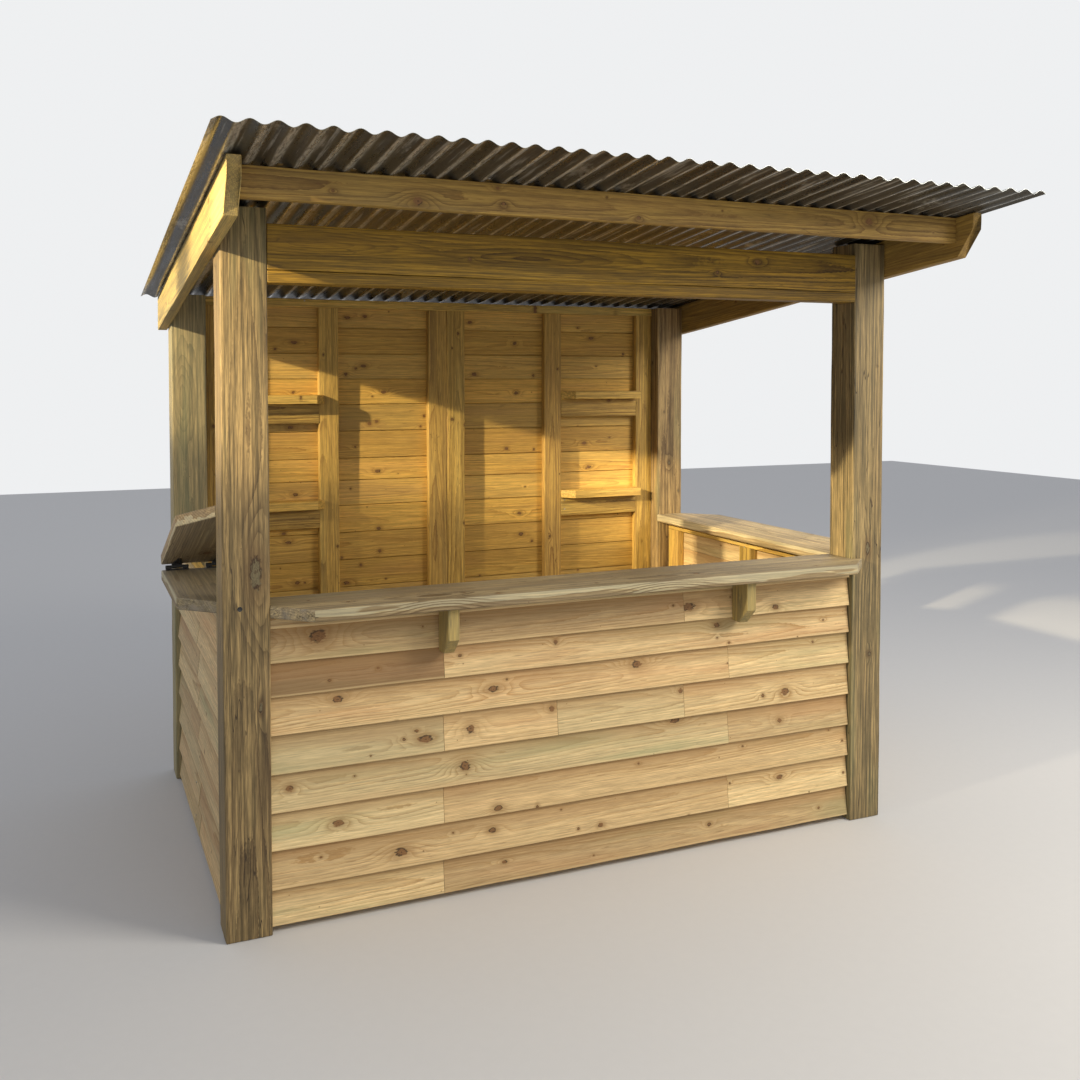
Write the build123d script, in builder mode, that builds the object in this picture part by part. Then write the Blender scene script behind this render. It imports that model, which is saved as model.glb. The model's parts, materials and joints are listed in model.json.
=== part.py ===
from build123d import *
import math
import os

# Outdoor timber bar: four posts, a lean-to roof of corrugated steel, half walls with lapped boards,
# plank bar tops on three sides, a lifting counter flap over a side door, and shelves on the back wall.
# Millimetres. +X runs along the bar, +Y from the customer's side to the back wall, +Z up.
# The origin is on the ground at the middle of the overall outline.

# Driving dimensions
bar_length = 2474
bar_depth = 1640
post_size = 140

plank_thick = 38
batten = 38
stud_width = 89

# Roof
roof_pitch = 6.0
rafter_deep = 140
rafter_thick = 38
rafter_under_front = 2091
rafter_reach_front = 445
rafter_reach_back = 50
rafter_nose_plumb = 55
rafter_nose_back = 72
sheet_reach_front = 690
sheet_reach_back = 60
sheet_side_left = 106
sheet_side_right = 66
first_crest = 83
wave_pitch = 66.7
wave_deep = 12.7
sheet_thick = 0.8
sheet_seat = 0.3
fascia_reach = 365
fascia_deep = 89
post_top_gap = 3.5

# Header between the front posts
header_plate_z = 1991
header_deep = 140
header_plate_wide = 89

# Bar tops
bar_top_z = 1015
over_front = 112
over_left = 108
over_right = 142
front_lap_right = 45
bracket_height = 140
bracket_reach = 96
bracket_nose = 90
bracket_from_left = 678
bracket_from_right = 637

# Walls
wall_clear = 20
clad_recess = 11
clad_butt = 25
clad_head = 10
course_bottom = 111
course = 120
course_upper = 105
back_course = 118
back_course_bottom = 143
back_plate_top = 2057
front_stud_gap = 600
side_bays = 2

# Studs of the back wall: left edges, from the outer face of the left posts
back_stud_at = (634, 1148, 1237, 1739)

# Side entry: the flap outreaches the fixed wall, so that it can lean back on the front post
flap_over_wall = 54
entry_gap = 6
door_swing_gap = 10
flap_end_gap = 7
flap_lean_gap = 6

# Tee hinges of the flap and the door: a crosspiece on the fixed side and a tapered strap on the moving side
pin_radius = 3
pin_rise = 9
knuckle_radius = 6
leaf_thick = 2.5
leaf_root = 3
hinge_wide = 80
crosspiece_long = 26
strap_long = 100
strap_root = 37
strap_tip = 14
barrel_gap = 0.4
pin_clear = 0.05
hinge_inset = 54

# Shelves: each is let in between two studs, its front corner clipped at the end nearer the wall's middle,
# and the left ones lap the stud there
shelf_deep = 92
shelf_lap_left = 18
shelf_clip_left = 38
shelf_upper_left = 1628
shelf_lower_left = 1156
shelf_upper_right = 1640
shelf_lower_right = 1152
ledger_high = 89

# Eased edges of the sawn timbers, the posts and the planks
arris = 2.5
post_round = 5
plank_round = 5

tan_pitch = math.tan(math.radians(roof_pitch))
left_extent = max(sheet_side_left, over_left)
right_extent = max(sheet_side_right, over_right)
x_left = -(bar_length + left_extent + right_extent) / 2 + left_extent
x_right = x_left + bar_length
sheet_run = sheet_reach_front + bar_depth + sheet_reach_back
y_front = -sheet_run / 2 + sheet_reach_front
y_back = y_front + bar_depth
x_in_left = x_left + post_size
x_in_right = x_right - post_size
y_in_front = y_front + post_size
y_in_back = y_back - post_size
cos_pitch = math.cos(math.radians(roof_pitch))
rafter_under_drop = rafter_deep / cos_pitch
plank_under = bar_top_z - plank_thick
wall_back = clad_recess + clad_butt
entry_y = y_in_front + (y_in_back - y_in_front - flap_over_wall) / 2

os.makedirs("parts", exist_ok=True)


def save(part, label):
    part.label = label
    export_step(part, "parts/" + label + ".step")
    print(label, round(part.volume / 1e6, 3))


def rafter_under(y):
    return rafter_under_front - (y - y_front) * tan_pitch


def rafter_top(y):
    return rafter_under(y) + rafter_under_drop


def timber(along, *boxes):
    # Sawn timbers of one node, none touching another, each a box with the edges along its grain eased
    with BuildPart() as piece:
        for x0, x1, y0, y1, z0, z1 in boxes:
            with BuildSketch(Plane.XY.offset(z0)):
                with Locations(((x0 + x1) / 2, (y0 + y1) / 2)):
                    Rectangle(x1 - x0, y1 - y0)
            extrude(amount=z1 - z0)
        chamfer(piece.edges().filter_by(along), arris)
    return piece


# Posts, cut level under the sheet
for side, px in (("left", x_left), ("right", x_in_right)):
    for end, py in (("front", y_front), ("back", y_in_back)):
        top = rafter_top(py + post_size) - post_top_gap
        with BuildPart() as post:
            with BuildSketch():
                with Locations((px + post_size / 2, py + post_size / 2)):
                    RectangleRounded(post_size, post_size, post_round)
            extrude(amount=top)
        save(post.part, "post_" + end + "_" + side)

# Rafters on the outer faces of the posts, with a plumb nose and a splayed lower corner
nose_y = y_front - rafter_reach_front
tail_y = y_back + rafter_reach_back
splay_y = nose_y + rafter_nose_back
for side, rx in (("left", x_left - rafter_thick), ("right", x_right)):
    with BuildPart() as rafter:
        with BuildSketch(Plane.YZ.offset(rx)):
            with BuildLine():
                Polyline(
                    (nose_y, rafter_top(nose_y)),
                    (nose_y, rafter_top(nose_y) - rafter_nose_plumb),
                    (splay_y, rafter_under(splay_y)),
                    (tail_y, rafter_under(tail_y)),
                    (tail_y, rafter_top(tail_y)),
                    close=True,
                )
            make_face()
        extrude(amount=rafter_thick)
        chamfer(rafter.edges().filter_by(Axis.X, reverse=True), arris)
    save(rafter.part, "rafter_" + side)

# Fascia between the rafters, its top bevelled to the roof slope
fascia_y = y_front - fascia_reach
with BuildPart() as fascia:
    with BuildSketch(Plane.YZ.offset(x_left)):
        with BuildLine():
            Polyline(
                (fascia_y, rafter_top(fascia_y) - fascia_deep),
                (fascia_y + batten, rafter_top(fascia_y) - fascia_deep),
                (fascia_y + batten, rafter_top(fascia_y + batten)),
                (fascia_y, rafter_top(fascia_y)),
                close=True,
            )
        make_face()
    extrude(amount=bar_length)
    chamfer(fascia.edges().filter_by(Axis.X), arris)
save(fascia.part, "fascia_beam")

# Header: a board on edge over a flat plate, flush with the front of the posts
header_z = header_plate_z + batten
header_plate = timber(
    Axis.X, (x_in_left, x_in_right, y_front, y_front + header_plate_wide, header_plate_z, header_z)
)
save(header_plate.part, "header_plate")
header = timber(Axis.X, (x_in_left, x_in_right, y_front, y_front + batten, header_z, header_z + header_deep))
save(header.part, "header_board")

# Corrugated sheet: tangent arcs above and below, cut off at both sides and run down the slope
sheet_left = x_left - sheet_side_left
sheet_right = x_right + sheet_side_right
sheet_front = y_front - sheet_reach_front
half_wave = wave_pitch / 2
wave_start = x_left - first_crest - 3 * half_wave / 2
half_count = math.ceil((sheet_right - wave_start) / half_wave)
sheet_rise = (wave_deep / 2 + sheet_seat) / cos_pitch
# The plane's second axis points down the sheet's normal, so heights are negated
slope_plane = Plane(
    origin=(0, sheet_front, rafter_top(sheet_front) + sheet_rise),
    x_dir=(1, 0, 0),
    z_dir=(0, cos_pitch, -math.sin(math.radians(roof_pitch))),
)
with BuildPart() as sheet:
    with BuildSketch(slope_plane):
        with BuildLine():
            for height in (0, sheet_thick):
                for k in range(half_count):
                    u = wave_start + k * half_wave
                    swell = -wave_deep / 2 if k % 2 == 0 else wave_deep / 2
                    ThreePointArc((u, -height), (u + half_wave / 2, -swell - height), (u + half_wave, -height))
            Line((wave_start, 0), (wave_start, -sheet_thick))
            wave_end = wave_start + half_count * half_wave
            Line((wave_end, 0), (wave_end, -sheet_thick))
        make_face()
        with Locations(((sheet_left + sheet_right) / 2, 0)):
            Rectangle(sheet_right - sheet_left, 4 * wave_deep, mode=Mode.INTERSECT)
    extrude(amount=sheet_run / cos_pitch)
save(sheet.part, "roof_sheet")


half_wall_courses = [course_bottom] + [course] * 5 + [course_upper] * 2 + [course] * 2
back_courses = [back_course_bottom] + [back_course] * 20


def lapped_wall(label, start, direction, outward, length, z_top, courses):
    # The wall's boards run along direction, and their feet stand out along outward.
    plane = Plane(origin=start, x_dir=outward, z_dir=direction)
    up = plane.y_dir.Z
    with BuildPart() as wall:
        with BuildSketch(plane):
            with BuildLine():
                points = [(0, wall_clear * up)]
                z = wall_clear
                for rise in courses:
                    head = min(z + rise, z_top)
                    share = (head - z) / rise
                    points.append((clad_butt, z * up))
                    points.append((clad_butt - (clad_butt - clad_head) * share, head * up))
                    z = head
                    if z >= z_top:
                        break
                points.append((0, z_top * up))
                Polyline(*points, close=True)
            make_face()
        extrude(amount=length)
    save(wall.part, label)


def plates(label, along, x0, x1, y0, y1, z_top):
    # Bottom and top plates of one wall, both in one node
    rows = [(x0, x1, y0, y1, z, z + batten) for z in (wall_clear, z_top - batten)]
    save(timber(along, *rows).part, label)


def studs(label, edges, z_top):
    # Upright studs of one wall, given as (x0, x1, y0, y1), between its plates
    boxes = [(x0, x1, y0, y1, wall_clear + batten, z_top - batten) for x0, x1, y0, y1 in edges]
    save(timber(Axis.Z, *boxes).part, label)


# Front half wall
stud_y = y_front + wall_back
front_span = x_in_right - x_in_left
lapped_wall(
    "front_cladding", (x_in_left, stud_y, 0), (1, 0, 0), (0, -1, 0), front_span, plank_under, half_wall_courses
)
plates("front_plates", Axis.X, x_in_left, x_in_right, stud_y, stud_y + batten, plank_under)
front_bays = round(front_span / front_stud_gap)
front_edges = [x_in_left + k * (front_span - stud_width) / front_bays for k in range(front_bays + 1)]
studs("front_studs", [(e, e + stud_width, stud_y, stud_y + batten) for e in front_edges], plank_under)

# Right half wall
right_stud_x = x_right - wall_back
side_span = y_in_back - y_in_front
lapped_wall(
    "right_cladding", (right_stud_x, y_in_front, 0), (0, 1, 0), (1, 0, 0), side_span, plank_under, half_wall_courses
)
plates("right_plates", Axis.Y, right_stud_x - batten, right_stud_x, y_in_front, y_in_back, plank_under)
side_edges = [y_in_front + k * (side_span - stud_width) / side_bays for k in range(side_bays + 1)]
studs("right_studs", [(right_stud_x - batten, right_stud_x, e, e + stud_width) for e in side_edges], plank_under)

# Left half wall, as far as the entry
left_stud_x = x_left + wall_back
left_span = entry_y - y_in_front
lapped_wall(
    "left_cladding", (left_stud_x, y_in_front, 0), (0, 1, 0), (-1, 0, 0), left_span, plank_under, half_wall_courses
)
plates("left_plates", Axis.Y, left_stud_x, left_stud_x + batten, y_in_front, entry_y, plank_under)
left_edges = (y_in_front, entry_y - stud_width)
studs("left_studs", [(left_stud_x, left_stud_x + batten, e, e + stud_width) for e in left_edges], plank_under)

# Side door: a frame of stiles and rails with the same lapped boards, hinged on the fixed wall
door_y0 = entry_y + entry_gap
door_y1 = y_in_back - door_swing_gap
door_top = plank_under - entry_gap
door_span = door_y1 - door_y0
lapped_wall(
    "door_cladding", (left_stud_x, door_y0, 0), (0, 1, 0), (-1, 0, 0), door_span, door_top, half_wall_courses
)
with BuildPart() as door_frame:
    with BuildSketch(Plane.YZ.offset(left_stud_x)):
        with Locations(((door_y0 + door_y1) / 2, (wall_clear + door_top) / 2)):
            Rectangle(door_span, door_top - wall_clear)
            Rectangle(door_span - 2 * stud_width, door_top - wall_clear - 2 * stud_width, mode=Mode.SUBTRACT)
    extrude(amount=batten)
save(door_frame.part, "door_frame")


def level_edges(plank):
    # Edges round the top and the underside of a plank that lies flat
    return plank.edges().filter_by(Axis.Z, reverse=True)


# Bar tops, rounded where they overhang
with BuildPart() as front_top:
    with BuildSketch(Plane.XY.offset(plank_under)):
        with BuildLine():
            front_edge = y_front - over_front
            Polyline(
                (x_in_left, y_in_front),
                (x_in_left, y_front),
                (x_in_left + over_front, front_edge),
                (x_in_right + front_lap_right - over_front, front_edge),
                (x_in_right + front_lap_right, y_front),
                (x_in_right, y_front),
                (x_in_right, y_in_front),
                close=True,
            )
        make_face()
    extrude(amount=plank_thick)
    fillet([e for e in level_edges(front_top) if e.center().Y < y_front], plank_round)
save(front_top.part, "front_bar_top")

with BuildPart() as left_top:
    with BuildSketch(Plane.XY.offset(plank_under)):
        with BuildLine():
            Polyline(
                (x_in_left, y_in_front),
                (x_left, y_in_front),
                (x_left - over_left, y_in_front + over_left),
                (x_left - over_left, entry_y),
                (x_in_left, entry_y),
                close=True,
            )
        make_face()
    extrude(amount=plank_thick)
    fillet([e for e in level_edges(left_top) if e.center().X < x_left], plank_round)
save(left_top.part, "left_bar_top")

with BuildPart() as right_top:
    with BuildSketch(Plane.XY.offset(plank_under)):
        with BuildLine():
            Polyline(
                (x_in_right, y_in_front),
                (x_right, y_in_front),
                (x_right + over_right, y_in_front + over_right),
                (x_right + over_right, y_in_back - over_right),
                (x_right, y_in_back),
                (x_in_right, y_in_back),
                close=True,
            )
        make_face()
    extrude(amount=plank_thick)
    fillet([e for e in level_edges(right_top) if e.center().X > x_right], plank_round)
save(right_top.part, "right_bar_top")

# Brackets under the front bar top, on the cladding's upper courses
bracket_back = stud_y - clad_butt
for side, bx in (("left", x_left + bracket_from_left), ("right", x_right - bracket_from_right - batten)):
    with BuildPart() as bracket:
        with BuildSketch(Plane.YZ.offset(bx)):
            with BuildLine():
                Polyline(
                    (bracket_back, plank_under),
                    (bracket_back - bracket_reach, plank_under),
                    (bracket_back - bracket_reach, plank_under - bracket_nose),
                    (bracket_back - bracket_reach + bracket_height - bracket_nose, plank_under - bracket_height),
                    (bracket_back, plank_under - bracket_height),
                    close=True,
                )
            make_face()
        extrude(amount=batten)
        chamfer(bracket.edges().filter_by(Axis.Z), arris)
    save(bracket.part, "bracket_" + side)

# Counter flap, drawn lying shut and turned up about its pin to lean on the front post
pin_y = entry_y + entry_gap / 2
pin_z = bar_top_z + pin_rise
flap_y0 = entry_y + entry_gap
flap_y1 = y_in_back - flap_end_gap
pin_axis = Axis((0, pin_y, pin_z), (1, 0, 0))
# The raised flap leans until its end stands the lean gap behind the post
flap_radius = math.hypot(flap_y1 - pin_y, pin_rise)
flap_face_angle = math.degrees(math.atan2(pin_rise, flap_y1 - pin_y))
flap_lean = math.degrees(math.acos((pin_y - y_in_front - flap_lean_gap) / flap_radius)) - flap_face_angle
flap_turn = 180 - flap_lean
with BuildPart() as flap:
    with BuildSketch(Plane.XY.offset(plank_under)):
        with BuildLine():
            Polyline(
                (x_in_left, flap_y0),
                (x_left - over_left, flap_y0),
                (x_left - over_left, flap_y1 - over_left),
                (x_left, flap_y1),
                (x_in_left, flap_y1),
                close=True,
            )
        make_face()
    extrude(amount=plank_thick)
    fillet([e for e in level_edges(flap) if e.center().Y > flap_y0], plank_round)
save(flap.part.rotate(pin_axis, flap_turn), "counter_flap")


def tee_hinges(places, turning):
    # Each place is a plane square to the pin at the hinge's low end: its first axis points from the
    # fixed side to the moving side, and its second from the leaves' face to the pin.
    way = 1 if turning else -1
    side = (hinge_wide - strap_root) / 2
    barrels = [(side, hinge_wide - side)] if turning else [(0, side), (hinge_wide - side, hinge_wide)]
    with BuildPart() as leaf:
        for place in places:
            flat = Plane(origin=place.origin, x_dir=place.x_dir, z_dir=place.y_dir).offset(-pin_rise)
            with BuildSketch(flat):
                if turning:
                    with BuildLine():
                        Polyline(
                            (leaf_root, -side),
                            (strap_long - strap_tip / 2, -(hinge_wide - strap_tip) / 2),
                            (strap_long - strap_tip / 2, -(hinge_wide + strap_tip) / 2),
                            (leaf_root, side - hinge_wide),
                            close=True,
                        )
                    make_face()
                    with Locations((strap_long - strap_tip / 2, -hinge_wide / 2)):
                        Circle(strap_tip / 2)
                else:
                    with Locations((-(leaf_root + crosspiece_long) / 2, -hinge_wide / 2)):
                        Rectangle(crosspiece_long - leaf_root, hinge_wide)
            extrude(amount=leaf_thick)
            for low, high in barrels:
                with BuildSketch(place.offset(low + barrel_gap)):
                    Circle(knuckle_radius)
                    with Locations((way * knuckle_radius / 2, -pin_rise / 2)):
                        Rectangle(knuckle_radius, pin_rise)
                extrude(amount=high - low - 2 * barrel_gap)
            with BuildSketch(place):
                Circle(pin_radius + pin_clear if turning else pin_radius)
            extrude(amount=hinge_wide, mode=Mode.SUBTRACT if turning else Mode.ADD)
    return leaf


flap_places = [
    Plane(origin=(x - hinge_wide / 2, pin_y, pin_z), x_dir=(0, 1, 0), z_dir=(1, 0, 0))
    for x in (x_left - over_left + hinge_inset, x_in_left - hinge_inset)
]
save(tee_hinges(flap_places, False).part, "flap_hinges_fixed")
save(tee_hinges(flap_places, True).part.rotate(pin_axis, flap_turn), "flap_hinges_moving")

# Door hinges on the inner faces, at the rails, so that the door swings in
door_pin_x = left_stud_x + batten + pin_rise
door_places = [
    Plane(origin=(door_pin_x, pin_y, z + hinge_wide / 2), x_dir=(0, 1, 0), z_dir=(0, 0, -1))
    for z in (wall_clear + stud_width / 2, door_top - stud_width / 2)
]
save(tee_hinges(door_places, False).part, "door_hinges_fixed")
save(tee_hinges(door_places, True).part, "door_hinges_moving")

# Back wall
back_inner_y = y_back - wall_back
back_stud_y = back_inner_y - batten
lapped_wall(
    "back_cladding",
    (x_in_left, back_inner_y, 0),
    (1, 0, 0),
    (0, 1, 0),
    front_span,
    back_plate_top,
    back_courses,
)
plates("back_plates", Axis.X, x_in_left, x_in_right, back_stud_y, back_inner_y, back_plate_top)
stud_edges = [x_in_left] + [x_left + at for at in back_stud_at] + [x_in_right - stud_width]
half = len(stud_edges) // 2
for label, edges in (("back_studs_left", stud_edges[:half]), ("back_studs_right", stud_edges[half:])):
    studs(label, [(e, e + stud_width, back_stud_y, back_inner_y) for e in edges], back_plate_top)

# Shelves in the outer bays, and the ledger boards that carry them
bays = {
    "left": (stud_edges[0] + stud_width, stud_edges[1]),
    "right": (stud_edges[-2] + stud_width, stud_edges[-1]),
}
shelf_tops = {
    ("left", "upper"): shelf_upper_left,
    ("left", "lower"): shelf_lower_left,
    ("right", "upper"): shelf_upper_right,
    ("right", "lower"): shelf_lower_right,
}
shelf_front = back_inner_y - shelf_deep
ledger_boxes = []
for (side, level), top in shelf_tops.items():
    # From the outer end, which is square, to the inner end
    if side == "left":
        outer, inner = bays[side]
        way, lap, clip = 1, shelf_lap_left, shelf_clip_left
    else:
        inner, outer = bays[side]
        way, lap, clip = -1, 0, back_stud_y - shelf_front
    tip = inner + way * lap
    with BuildPart() as shelf:
        with BuildSketch(Plane.XY.offset(top - plank_thick)):
            with BuildLine():
                points = [
                    (inner, back_stud_y),
                    (inner, back_inner_y),
                    (outer, back_inner_y),
                    (outer, shelf_front),
                    (tip - way * clip, shelf_front),
                    (tip, shelf_front + clip),
                ]
                if lap:
                    points.append((tip, back_stud_y))
                Polyline(*points, close=True)
            make_face()
        extrude(amount=plank_thick)
        chamfer([e for e in level_edges(shelf) if e.center().Y < shelf_front + clip], arris)
    save(shelf.part, "shelf_" + level + "_" + side)
    under = top - plank_thick
    ledger_boxes.append((*bays[side], back_stud_y, back_inner_y, under - ledger_high, under))
save(timber(Axis.X, *ledger_boxes).part, "shelf_ledgers")
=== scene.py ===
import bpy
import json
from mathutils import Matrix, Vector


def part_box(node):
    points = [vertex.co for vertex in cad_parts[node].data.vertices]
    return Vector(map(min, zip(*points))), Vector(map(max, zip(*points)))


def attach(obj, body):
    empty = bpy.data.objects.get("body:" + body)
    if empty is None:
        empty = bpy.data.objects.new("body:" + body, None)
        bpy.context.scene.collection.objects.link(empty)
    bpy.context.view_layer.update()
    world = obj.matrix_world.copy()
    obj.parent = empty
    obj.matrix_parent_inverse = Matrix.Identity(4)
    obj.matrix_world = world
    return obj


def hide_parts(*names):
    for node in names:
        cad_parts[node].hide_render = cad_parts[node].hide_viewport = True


bl_info = {
    "name": "Outdoor timber bar",
    "version": (1, 0, 0),
    "blender": (4, 5, 0),
    "location": "View3D > Sidebar > Timber bar",
    "description": "Sawn posts, lapped boards, plank bar tops and a corrugated roof dressed over a fixed frame",
    "category": "Object",
}

import json
import math

import bpy
import numpy as np

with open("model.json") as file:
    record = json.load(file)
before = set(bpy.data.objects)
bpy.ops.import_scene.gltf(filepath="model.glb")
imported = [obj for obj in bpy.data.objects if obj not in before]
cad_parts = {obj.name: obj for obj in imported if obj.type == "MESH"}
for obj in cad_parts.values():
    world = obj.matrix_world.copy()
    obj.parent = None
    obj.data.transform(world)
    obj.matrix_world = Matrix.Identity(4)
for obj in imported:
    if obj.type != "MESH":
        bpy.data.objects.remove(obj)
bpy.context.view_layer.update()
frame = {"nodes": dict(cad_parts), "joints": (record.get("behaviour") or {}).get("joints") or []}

MM = 0.001
KNOTS = ("knot_a", "knot_b", "knot_c")
# Offsets and radius that stand for no knot
FAR = (9.0, 9.0, 0.001)
ROOF_PITCH = math.radians(6.0)
SHEET_PITCH = 66.7 * MM
POST_WIDTH = 140 * MM
STUD_WIDTH = 89 * MM
# How far the flat backs of the boards lie inside the posts' outer faces
WALL_BACK = 36 * MM
# How far the planks reach past the posts' outer faces
FRONT_OVER, LEFT_OVER, RIGHT_OVER = 112 * MM, 108 * MM, 142 * MM


def box(node):
    """Low and high corners of a node of the frame."""
    return tuple(np.asarray(corner, float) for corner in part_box(node))


# Main lines of the frame, read from its nodes
x_left, y_front = box("post_front_left")[0][:2]
x_in_left, y_in_front = box("post_front_left")[1][:2]
x_in_right, y_in_back = box("post_back_right")[0][:2]
x_right = box("post_back_right")[1][0]
plank_under, plank_top = box("front_bar_top")[0][2], box("front_bar_top")[1][2]
slope = math.tan(ROOF_PITCH)
flap_hinge, door_hinge = (next(joint for joint in frame["joints"] if joint["name"] == name)
                          for name in ("flap_hinge", "door_hinge"))
flap_turn = -math.radians(flap_hinge["range_deg"][0])


# Properties


def length_property(name, description, default):
    """A length property, its default given in millimetres."""
    return bpy.props.FloatProperty(name=name, description=description, default=default * MM, min=0, unit="LENGTH")


class TimberBarSizes(bpy.types.PropertyGroup):
    arris: length_property("Arris", "Radius of the eased edges of sawn framing", 2.5)
    post_arris: length_property("Post arris", "Radius of the posts' corners", 5)
    plank_arris: length_property("Plank arris", "Radius of the bar tops' edges", 5)
    lip: length_property("Lip", "Radius of each lapped board's lower edge", 4)
    butt: length_property("Butt joint", "Gap between the ends of two boards", 1.2)
    end_gap: length_property("End gap", "Gap between the front boards and the right post", 5)
    waver: length_property("Waver", "How far a sawn face strays from straight", 0.6)
    dent: length_property("Dents", "How far the roof sheet strays from true", 0.9)


def colour_property(name, description, red, green, blue):
    """A colour property given in 0 to 255 steps of screen colour, kept as linear light."""
    linear = [(c / 255 / 12.92) if c <= 10 else ((c / 255 + 0.055) / 1.055) ** 2.4 for c in (red, green, blue)]
    return bpy.props.FloatVectorProperty(
        name=name, description=description, default=linear, min=0, max=1, size=3, subtype="COLOR")


class TimberBarColours(bpy.types.PropertyGroup):
    siding: colour_property("Siding", "Pale wood of the lapped boards", 214, 187, 136)
    siding_late: colour_property("Siding rings", "Dark wood of the lapped boards", 160, 122, 68)
    post: colour_property("Posts", "Pale wood of the posts", 152, 128, 84)
    post_late: colour_property("Post rings", "Dark wood of the posts", 78, 60, 36)
    # The framing, beam and back colours are the wood's own, made more saturated and lower in blue as painted warm
    # bounce light; the beam colours are also darkened as painted shade under the roof
    framing: colour_property("Framing", "Pale wood of rafters, header and studs", 190, 156, 76)
    framing_late: colour_property("Framing rings", "Dark wood of rafters, header and studs", 110, 80, 30)
    beam: colour_property("Beams", "Pale wood of the header and its plate", 158, 122, 36)
    beam_late: colour_property("Beam rings", "Dark wood of the header and its plate", 66, 44, 14)
    back: colour_property("Back boards", "Pale wood of the back wall", 208, 166, 78)
    back_late: colour_property("Back board rings", "Dark wood of the back wall", 148, 102, 38)
    plank: colour_property("Planks", "Pale wood of the bar tops", 192, 170, 124)
    plank_late: colour_property("Plank rings", "Dark wood of the bar tops", 104, 82, 50)
    knot: colour_property("Knots", "Heart of a knot", 88, 60, 32)
    steel: colour_property("Roof sheet", "Galvanised sheet", 176, 178, 174)
    # The underside's colour is darker than the top's, as painted shade
    steel_under_shaded: colour_property("Roof sheet underside", "Weathered underside of the sheet", 88, 84, 75)
    hinge: colour_property("Hinges", "Black enamel", 22, 22, 23)


def sizes():
    return bpy.context.scene.timber_bar_sizes


def colours():
    return bpy.context.scene.timber_bar_colours


# Materials


class Signal:
    """What a node puts out, so that sums of nodes read as formulas."""

    def __init__(self, tree, socket):
        self.tree, self.socket = tree, socket

    def beside(self, output):
        """Another output of the same node."""
        return Signal(self.tree, self.socket.node.outputs[output])

    def __add__(self, other):
        return self.tree.math("ADD", self, other)

    def __sub__(self, other):
        return self.tree.math("SUBTRACT", self, other)

    def __mul__(self, other):
        return self.tree.math("MULTIPLY", self, other)

    def __truediv__(self, other):
        return self.tree.math("DIVIDE", self, other)

    def __pow__(self, other):
        return self.tree.math("POWER", self, other)


class Tree:
    """A node tree, with one short call for each kind of node."""

    def __init__(self, tree):
        self.tree = tree

    def feed(self, target, value):
        """Gives an input a link, a colour, a vector or a number."""
        if isinstance(value, Signal):
            self.tree.links.new(value.socket, target)
        elif target.type == "RGBA":
            target.default_value = (*value[:3], 1.0)
        else:
            target.default_value = value

    def put(self, kind, inputs=(), output=0, **settings):
        """Adds a node with its settings, feeds its inputs and returns one of its outputs."""
        node = self.tree.nodes.new(kind)
        for key, value in settings.items():
            setattr(node, key, value)
        for socket, value in inputs:
            self.feed(node.inputs[socket], value)
        return Signal(self, node.outputs[output])

    def attribute(self, name, output="Vector"):
        return self.put("ShaderNodeAttribute", output=output, attribute_name=name)

    def object_place(self):
        return self.put("ShaderNodeTexCoord", output="Object")

    def math(self, operation, *values, clamp=False):
        return self.put("ShaderNodeMath", enumerate(values), operation=operation, use_clamp=clamp)

    def vector(self, operation, *values):
        output = "Value" if operation == "LENGTH" else "Vector"
        return self.put("ShaderNodeVectorMath", enumerate(values), output, operation=operation)

    def split(self, vector):
        first = self.put("ShaderNodeSeparateXYZ", [(0, vector)])
        return first, first.beside(1), first.beside(2)

    def join(self, x, y, z):
        return self.put("ShaderNodeCombineXYZ", [(0, x), (1, y), (2, z)])

    def noise(self, vector, scale=1.0, detail=2.0, rough=0.5):
        inputs = [("Vector", vector), ("Scale", scale), ("Detail", detail), ("Roughness", rough)]
        return self.put("ShaderNodeTexNoise", inputs, "Fac")

    def drawn(self, vector, stretch, detail=2.0, rough=0.5):
        """Noise whose marks are as many to the metre on each axis as stretch says."""
        return self.noise(self.vector("MULTIPLY", vector, stretch), detail=detail, rough=rough)

    def smooth(self, value, low, high, to_low=0.0, to_high=1.0):
        """A value eased from to_low to to_high as it runs from low to high."""
        inputs = [("Value", value), ("From Min", low), ("From Max", high), ("To Min", to_low), ("To Max", to_high)]
        return self.put("ShaderNodeMapRange", inputs, interpolation_type="SMOOTHSTEP")

    def mix(self, factor, first, second, blend="MIX"):
        inputs = [(0, factor), (6, first), (7, second)]
        return self.put("ShaderNodeMix", inputs, 2, data_type="RGBA", blend_type=blend)

    def ramp(self, value, stops):
        """A grey ramp, its stops given as place and grey."""
        greys = self.put("ShaderNodeValToRGB", [(0, value)])
        band = greys.socket.node.color_ramp
        while len(band.elements) < len(stops):
            band.elements.new(0.5)
        for element, (place, grey) in zip(band.elements, stops):
            element.position = place
            element.color = (grey, grey, grey, 1.0)
        return greys


class Finish(Tree):
    """A material's node tree, built up round its shader."""

    def __init__(self, name):
        self.material = bpy.data.materials.new(name)
        self.material.use_nodes = True
        super().__init__(self.material.node_tree)

    def done(self, colour, rough, height=None, distance=0.0, strength=0.0, metallic=0.0, specular=0.5):
        """Feeds the shader, with height as a bump of the given distance and strength."""
        values = {"Base Color": colour, "Roughness": rough, "Metallic": metallic, "Specular IOR Level": specular}
        if height is not None:
            inputs = [("Strength", strength), ("Distance", distance), ("Height", height)]
            values["Normal"] = self.put("ShaderNodeBump", inputs)
        shader = self.tree.nodes["Principled BSDF"]
        for socket, value in values.items():
            self.feed(shader.inputs[socket], value)
        return self.material


def scaled(colour, factor):
    return tuple(min(c * factor, 1.0) for c in colour)


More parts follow.
